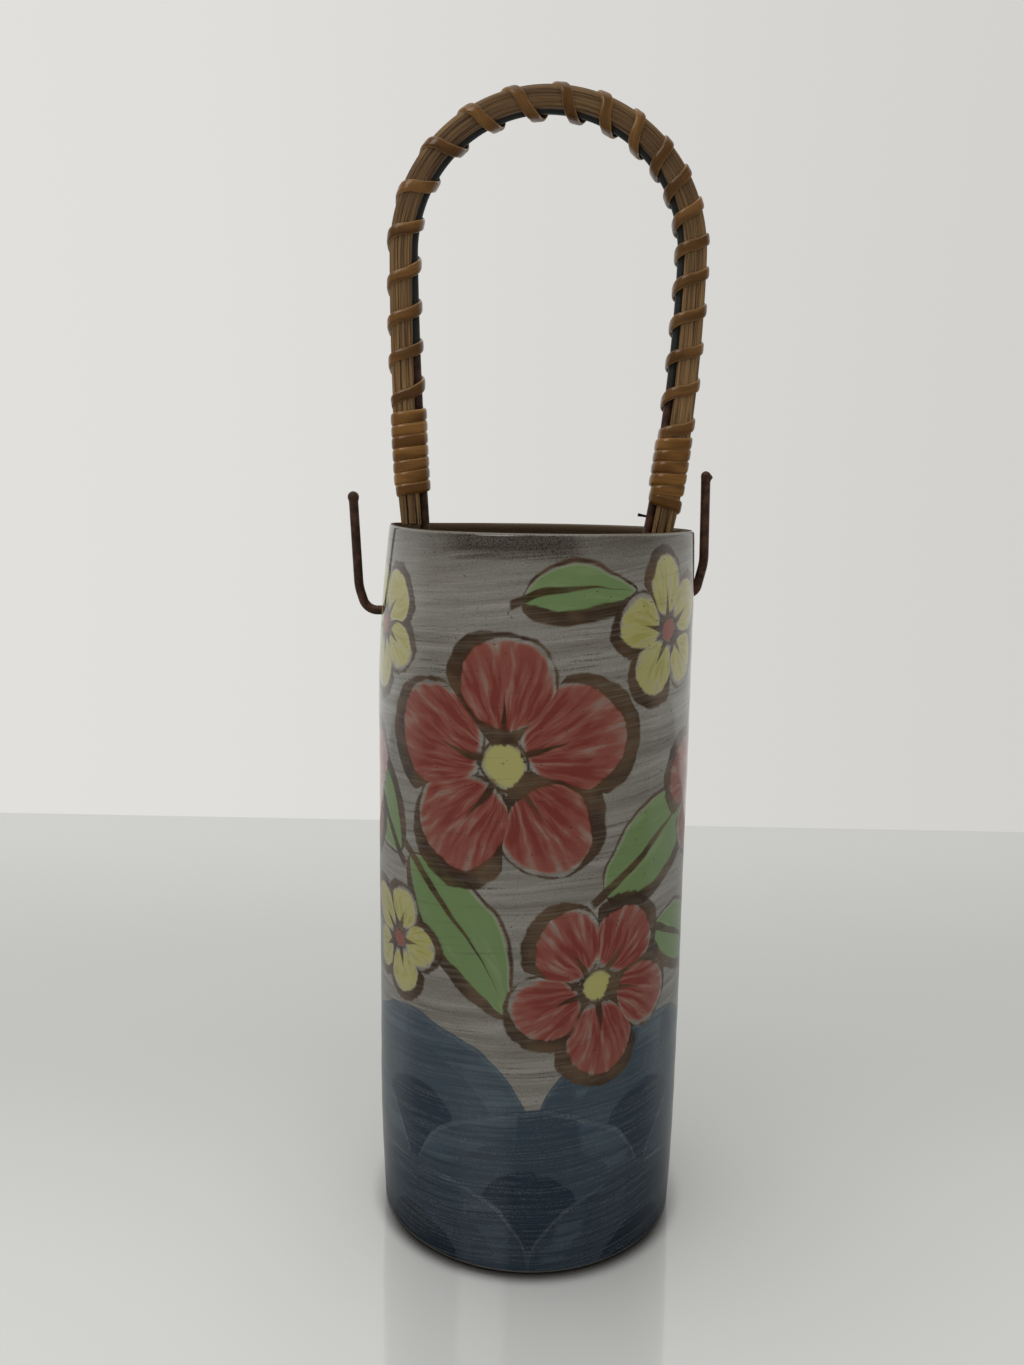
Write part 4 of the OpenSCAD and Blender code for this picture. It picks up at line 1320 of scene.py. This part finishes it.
colour = ground
dry = g.mul(g.step(slip["Furrows"], *DRY_FURROWS), g.step(slip["Pepper"], *DRY_GRAINS))
laps = brushed(g, x, y, z, LAP_ROUND, LAP_UP)
pools = g.largest(g.step(slip["Streaks"], *POOL_SPAN), g.step(laps, *LAP_SPAN))
for (top, rise, shift), (light_tone, deep_tone) in zip(WAVES, WAVE_TONES):
    wave = g.group(wave_group, {"Around": place["Drawn Around"], "Height": place["Drawn Height"],
                                "Top": top, "Rise": rise, "Shift": shift})
    wash = g.mix(g.largest(wave["Wash"], g.mul(pools, POOL_SHARE)), light_tone, deep_tone)
    wash = g.mix(g.mul(dry, DRY_SHARE), wash, CREST)
    wash = g.mix(g.mul(wave["Crest"], g.add(CREST_SHARE, g.mul(dry, CREST_DRY))), wash, CREST)
    colour = g.mix(wave["Cover"], colour, wash)
print("waves laid on in", len(WAVES), "rows")

# %% [markdown]
# Leaves and blossoms follow. Each is a row in a short list: its place round the wall, its height, its size
# and its turn, so a new one takes a line and no new nodes by hand. A wash runs from a thin, pale tone to a
# full one along the hairs of the brush, and the brown line is a little thin wherever the ground is rough.

# %% Painted glaze: leaves and blossoms
RED_BLOSSOMS = [(-7, 121, 30, 0.3), (15, 70, 22, 0.9), (56, 112, 22, 1.5)]
YELLOW_BLOSSOMS = [(33, 149, 17, 0.2), (-44, 148, 16, 1.1), (-37, 76, 15, 0.6)]
LEAVES = [(34, 103, 22, 0.5), (-16, 82, 21, -0.9), (47, 74, 18, -0.5), (-47, 110, 18, 2.2),
          (9, 158, 13, 0.1)]
# The brown line as it is thin and where it pools; each wash as its thin, its full and its deepest tone
BROWN = (srgb(72, 54, 36), srgb(44, 29, 15))
GREEN = (srgb(112, 123, 94), srgb(102, 119, 81), srgb(90, 111, 70))
YELLOW = (srgb(140, 136, 106), srgb(143, 139, 86), srgb(132, 127, 68))
RED = (srgb(120, 86, 75), srgb(112, 60, 50), srgb(100, 37, 30))
WASH_SPAN, FULL_SPAN, DEEP_SPAN, WASH_SHARE = (0.03, 0.40), (0.25, 0.60), (0.60, 0.95), 0.96
INK_SPAN, INK_SHARE = (0.66, 0.44), (0.80, 0.97)
LOAD_SPAN, LOAD_BROAD, LOAD_STREAKS = (0.38, 0.62), 0.75, 0.25


def strongest(tree, rows, size_name, wanted):
    """The strongest of each wanted output over every row of a motif."""
    best = {}
    for row in rows:
        given = dict(zip(("Place Around", "Place Height", size_name, "Turn"), row))
        given.update({"Around": place["Drawn Around"], "Height": place["Drawn Height"]})
        made = g.group(tree, given)
        for name in wanted:
            best[name] = g.largest(best[name], made[name]) if name in best else made[name]
    return best


def laid_wash(under, fill, tones):
    """A wash over what lies under it, in three tones by how full it is."""
    tone = g.layer(tones[0], tones[1], fill, FULL_SPAN)
    tone = g.layer(tone, tones[2], fill, DEEP_SPAN)
    return g.layer(under, tone, fill, WASH_SPAN, WASH_SHARE)


inked = g.step(slip["Furrows"], *INK_SPAN, *INK_SHARE)
load = g.mul(g.noise(place["Point"], scale=0.11), LOAD_BROAD)
load = g.add(load, g.mul(slip["Streaks"], LOAD_STREAKS))
ink = g.layer(*BROWN, load, LOAD_SPAN)
leaf = strongest(leaf_group, LEAVES, "Length", ("Shape", "Fill", "Line"))
colour = g.mix(leaf["Shape"], colour, ground)
colour = laid_wash(colour, leaf["Fill"], GREEN)
colour = g.mix(g.mul(leaf["Line"], inked), colour, ink)
for rows, tones, heart in ((YELLOW_BLOSSOMS, YELLOW, RED[1]), (RED_BLOSSOMS, RED, YELLOW[1])):
    flower = strongest(flower_group, rows, "Size", ("Shape", "Fill", "Line", "Heart"))
    colour = g.mix(flower["Shape"], colour, ground)
    colour = laid_wash(colour, flower["Fill"], tones)
    colour = g.mix(flower["Heart"], colour, heart)
    colour = g.mix(g.mul(flower["Line"], inked), colour, ink)
print(len(RED_BLOSSOMS) + len(YELLOW_BLOSSOMS), "blossoms and", len(LEAVES), "leaves painted")

# %% [markdown]
# Then come the marks of the kiln and of use: fine furrows and iron specks through everything, a dark glaze
# inside, a thin pale line on the lip's outer edge, and a rim of bare clay at the foot. On the left the same
# dark brown is also painted over the back of the lip and high on its inner edge, as painted shade under the
# ends of the splints. The inside could be a piece of its own, but how far the surface leans outwards
# already tells the inside, the lip and the outside apart, also where the lip leans in.

# %% Painted glaze: lip, inside and foot
INSIDE = (srgb(49, 38, 28), srgb(71, 59, 46))
LIP_TONES = (srgb(56, 48, 40), srgb(94, 88, 79))
SCRATCHED = 0.36
SPECK, SPECK_SPAN, SPECK_SHARE = srgb(40, 28, 20), (0.745, 0.775), 0.8
LIP_H, LIP_SOFT, LIP_TILT = 1.8, 0.2, (0.45, 0.85)
# Where the dark inside colour begins, by how far the surface leans outwards, at the left end of the lip and
# beyond it; at the left end it starts on the lip's top, as painted shade under the splints' ends
INSIDE_LEAN, INSIDE_Z = (0.1, -0.1), (3.0, 4.0)
LIP_END_LEFT_SHADED, LIP_END_RIGHT, LIP_END_X = 0.08, 0.6, (-28.0, -14.0)
# Painted shade on the back of the lip's top, on the left, under the splints' ends
LIP_SHADE_X, LIP_SHADE_Y = (-8.0, -14.0), (0.0, 4.0)
PALE_EDGE, PALE_EDGE_SPAN, PALE_EDGE_SHARE = srgb(114, 109, 101), (0.38, 0.66), 0.6
PALE_EDGE_TILT, PALE_EDGE_W, PALE_EDGE_SOFT, PALE_EDGE_LEAN = 0.55, 0.20, 0.3, (0.1, 0.3)
BARE_FOOT, FOOT_LINE, FOOT_RAGGED = srgb(98, 92, 82), 1.0, 0.4

colour = g.mix(g.mul(scratches, SCRATCHED), colour, SCRATCH)
specks = g.noise(place["Point"], scale=1.15, detail=1.0)
colour = g.layer(colour, SPECK, specks, SPECK_SPAN, SPECK_SHARE)
face_x, face_y, face_z = g.split(g.node("ShaderNodeNewGeometry").outputs["Normal"])
lean_out = g.div(g.add(g.mul(x, face_x), g.mul(y, face_y)), radius)
near_lip = g.step(z, LIP_Z - LIP_H - LIP_SOFT, LIP_Z - LIP_H)
on_top = g.mul(g.step(face_z, *LIP_TILT), near_lip)
colour = g.mix(on_top, colour, g.mix(slip["Pepper"], *LIP_TONES))
# Painted shade: on the left the dark inside colour climbs onto the lip and over its back, under the splints'
# ends.
past_end = g.add(lean_out, g.step(x, *LIP_END_X, LIP_END_LEFT_SHADED, LIP_END_RIGHT))
shaded_lip = g.mul(on_top, g.mul(g.step(x, *LIP_SHADE_X), g.step(y, *LIP_SHADE_Y)))
inside = g.largest(g.step(past_end, *INSIDE_LEAN), g.step(radius, WALL_FROM + 1, WALL_FROM), shaded_lip)
colour = g.mix(g.mul(inside, g.step(z, *INSIDE_Z)), colour, g.mix(slip["Pepper"], *INSIDE))
# A thin pale line along the lip's outer edge, where the surface tilts up at about a set angle.
off_line = g.size(g.sub(face_z, PALE_EDGE_TILT))
pale_edge = g.mul(near_lip, g.step(lean_out, *PALE_EDGE_LEAN))
pale_edge = g.mul(pale_edge, g.step(off_line, PALE_EDGE_W, PALE_EDGE_W * PALE_EDGE_SOFT))
pale_edge = g.mul(pale_edge, g.step(slip["Pepper"], *PALE_EDGE_SPAN, 0.0, PALE_EDGE_SHARE))
colour = g.mix(pale_edge, colour, PALE_EDGE)
uneven_foot = g.add(z, g.mul(slip["Drift"], FOOT_RAGGED))
bare_foot = g.step(uneven_foot, FOOT_LINE + FOOT_RAGGED, FOOT_LINE)
g.plug(shader["Base Color"], g.mix(bare_foot, colour, BARE_FOOT))
print("lip, inside and foot marked")

# %% [markdown]
# The clear glaze over it all is glossy, a little less so in the furrows, and the bare foot is matt. Its
# surface follows the brush, which a bump shows well enough at this depth. The lip's top is worn dull. The
# gloss of one material is one plain value, so the lip's faces get a copy of the glaze without its gloss.

# %% Painted glaze: gloss
GLAZE_IOR = 1.6
GLAZE_ROUGH, FOOT_ROUGH = (0.13, 0.07), 0.5
FURROW_DEPTH = 0.5
DULL_GLOSS, DULL_LEAN = 0.0, 0.2

rough = g.step(slip["Furrows"], *ROUGH_SPAN, *GLAZE_ROUGH)
g.plug(shader["Roughness"], g.add(rough, g.mul(bare_foot, FOOT_ROUGH)))
shader["IOR"].default_value = GLAZE_IOR
brush_marks = g.add(slip["Streaks"], g.mul(slip["Furrows"], FURROW_DEPTH))
add_bump(g, shader, brush_marks, strength=0.35, depth_mm=0.10)
dull_lip = glaze.copy()
dull_lip.name = "dull_lip"
dull_lip.node_tree.nodes["Principled BSDF"].inputs["Specular IOR Level"].default_value = DULL_GLOSS
vase.data.materials.append(glaze)
vase.data.materials.append(dull_lip)
for face in vase.data.polygons:
    outwards = face.center.xy.normalized() @ face.normal.xy
    face.material_index = int(face.center.z > (LIP_Z - LIP_H) * MM and outwards < DULL_LEAN)
print("glaze finished on", vase.name)

# %% [markdown]
# Last, the script says that the scene is dressed.

# %% Finish
print("scene dressed")
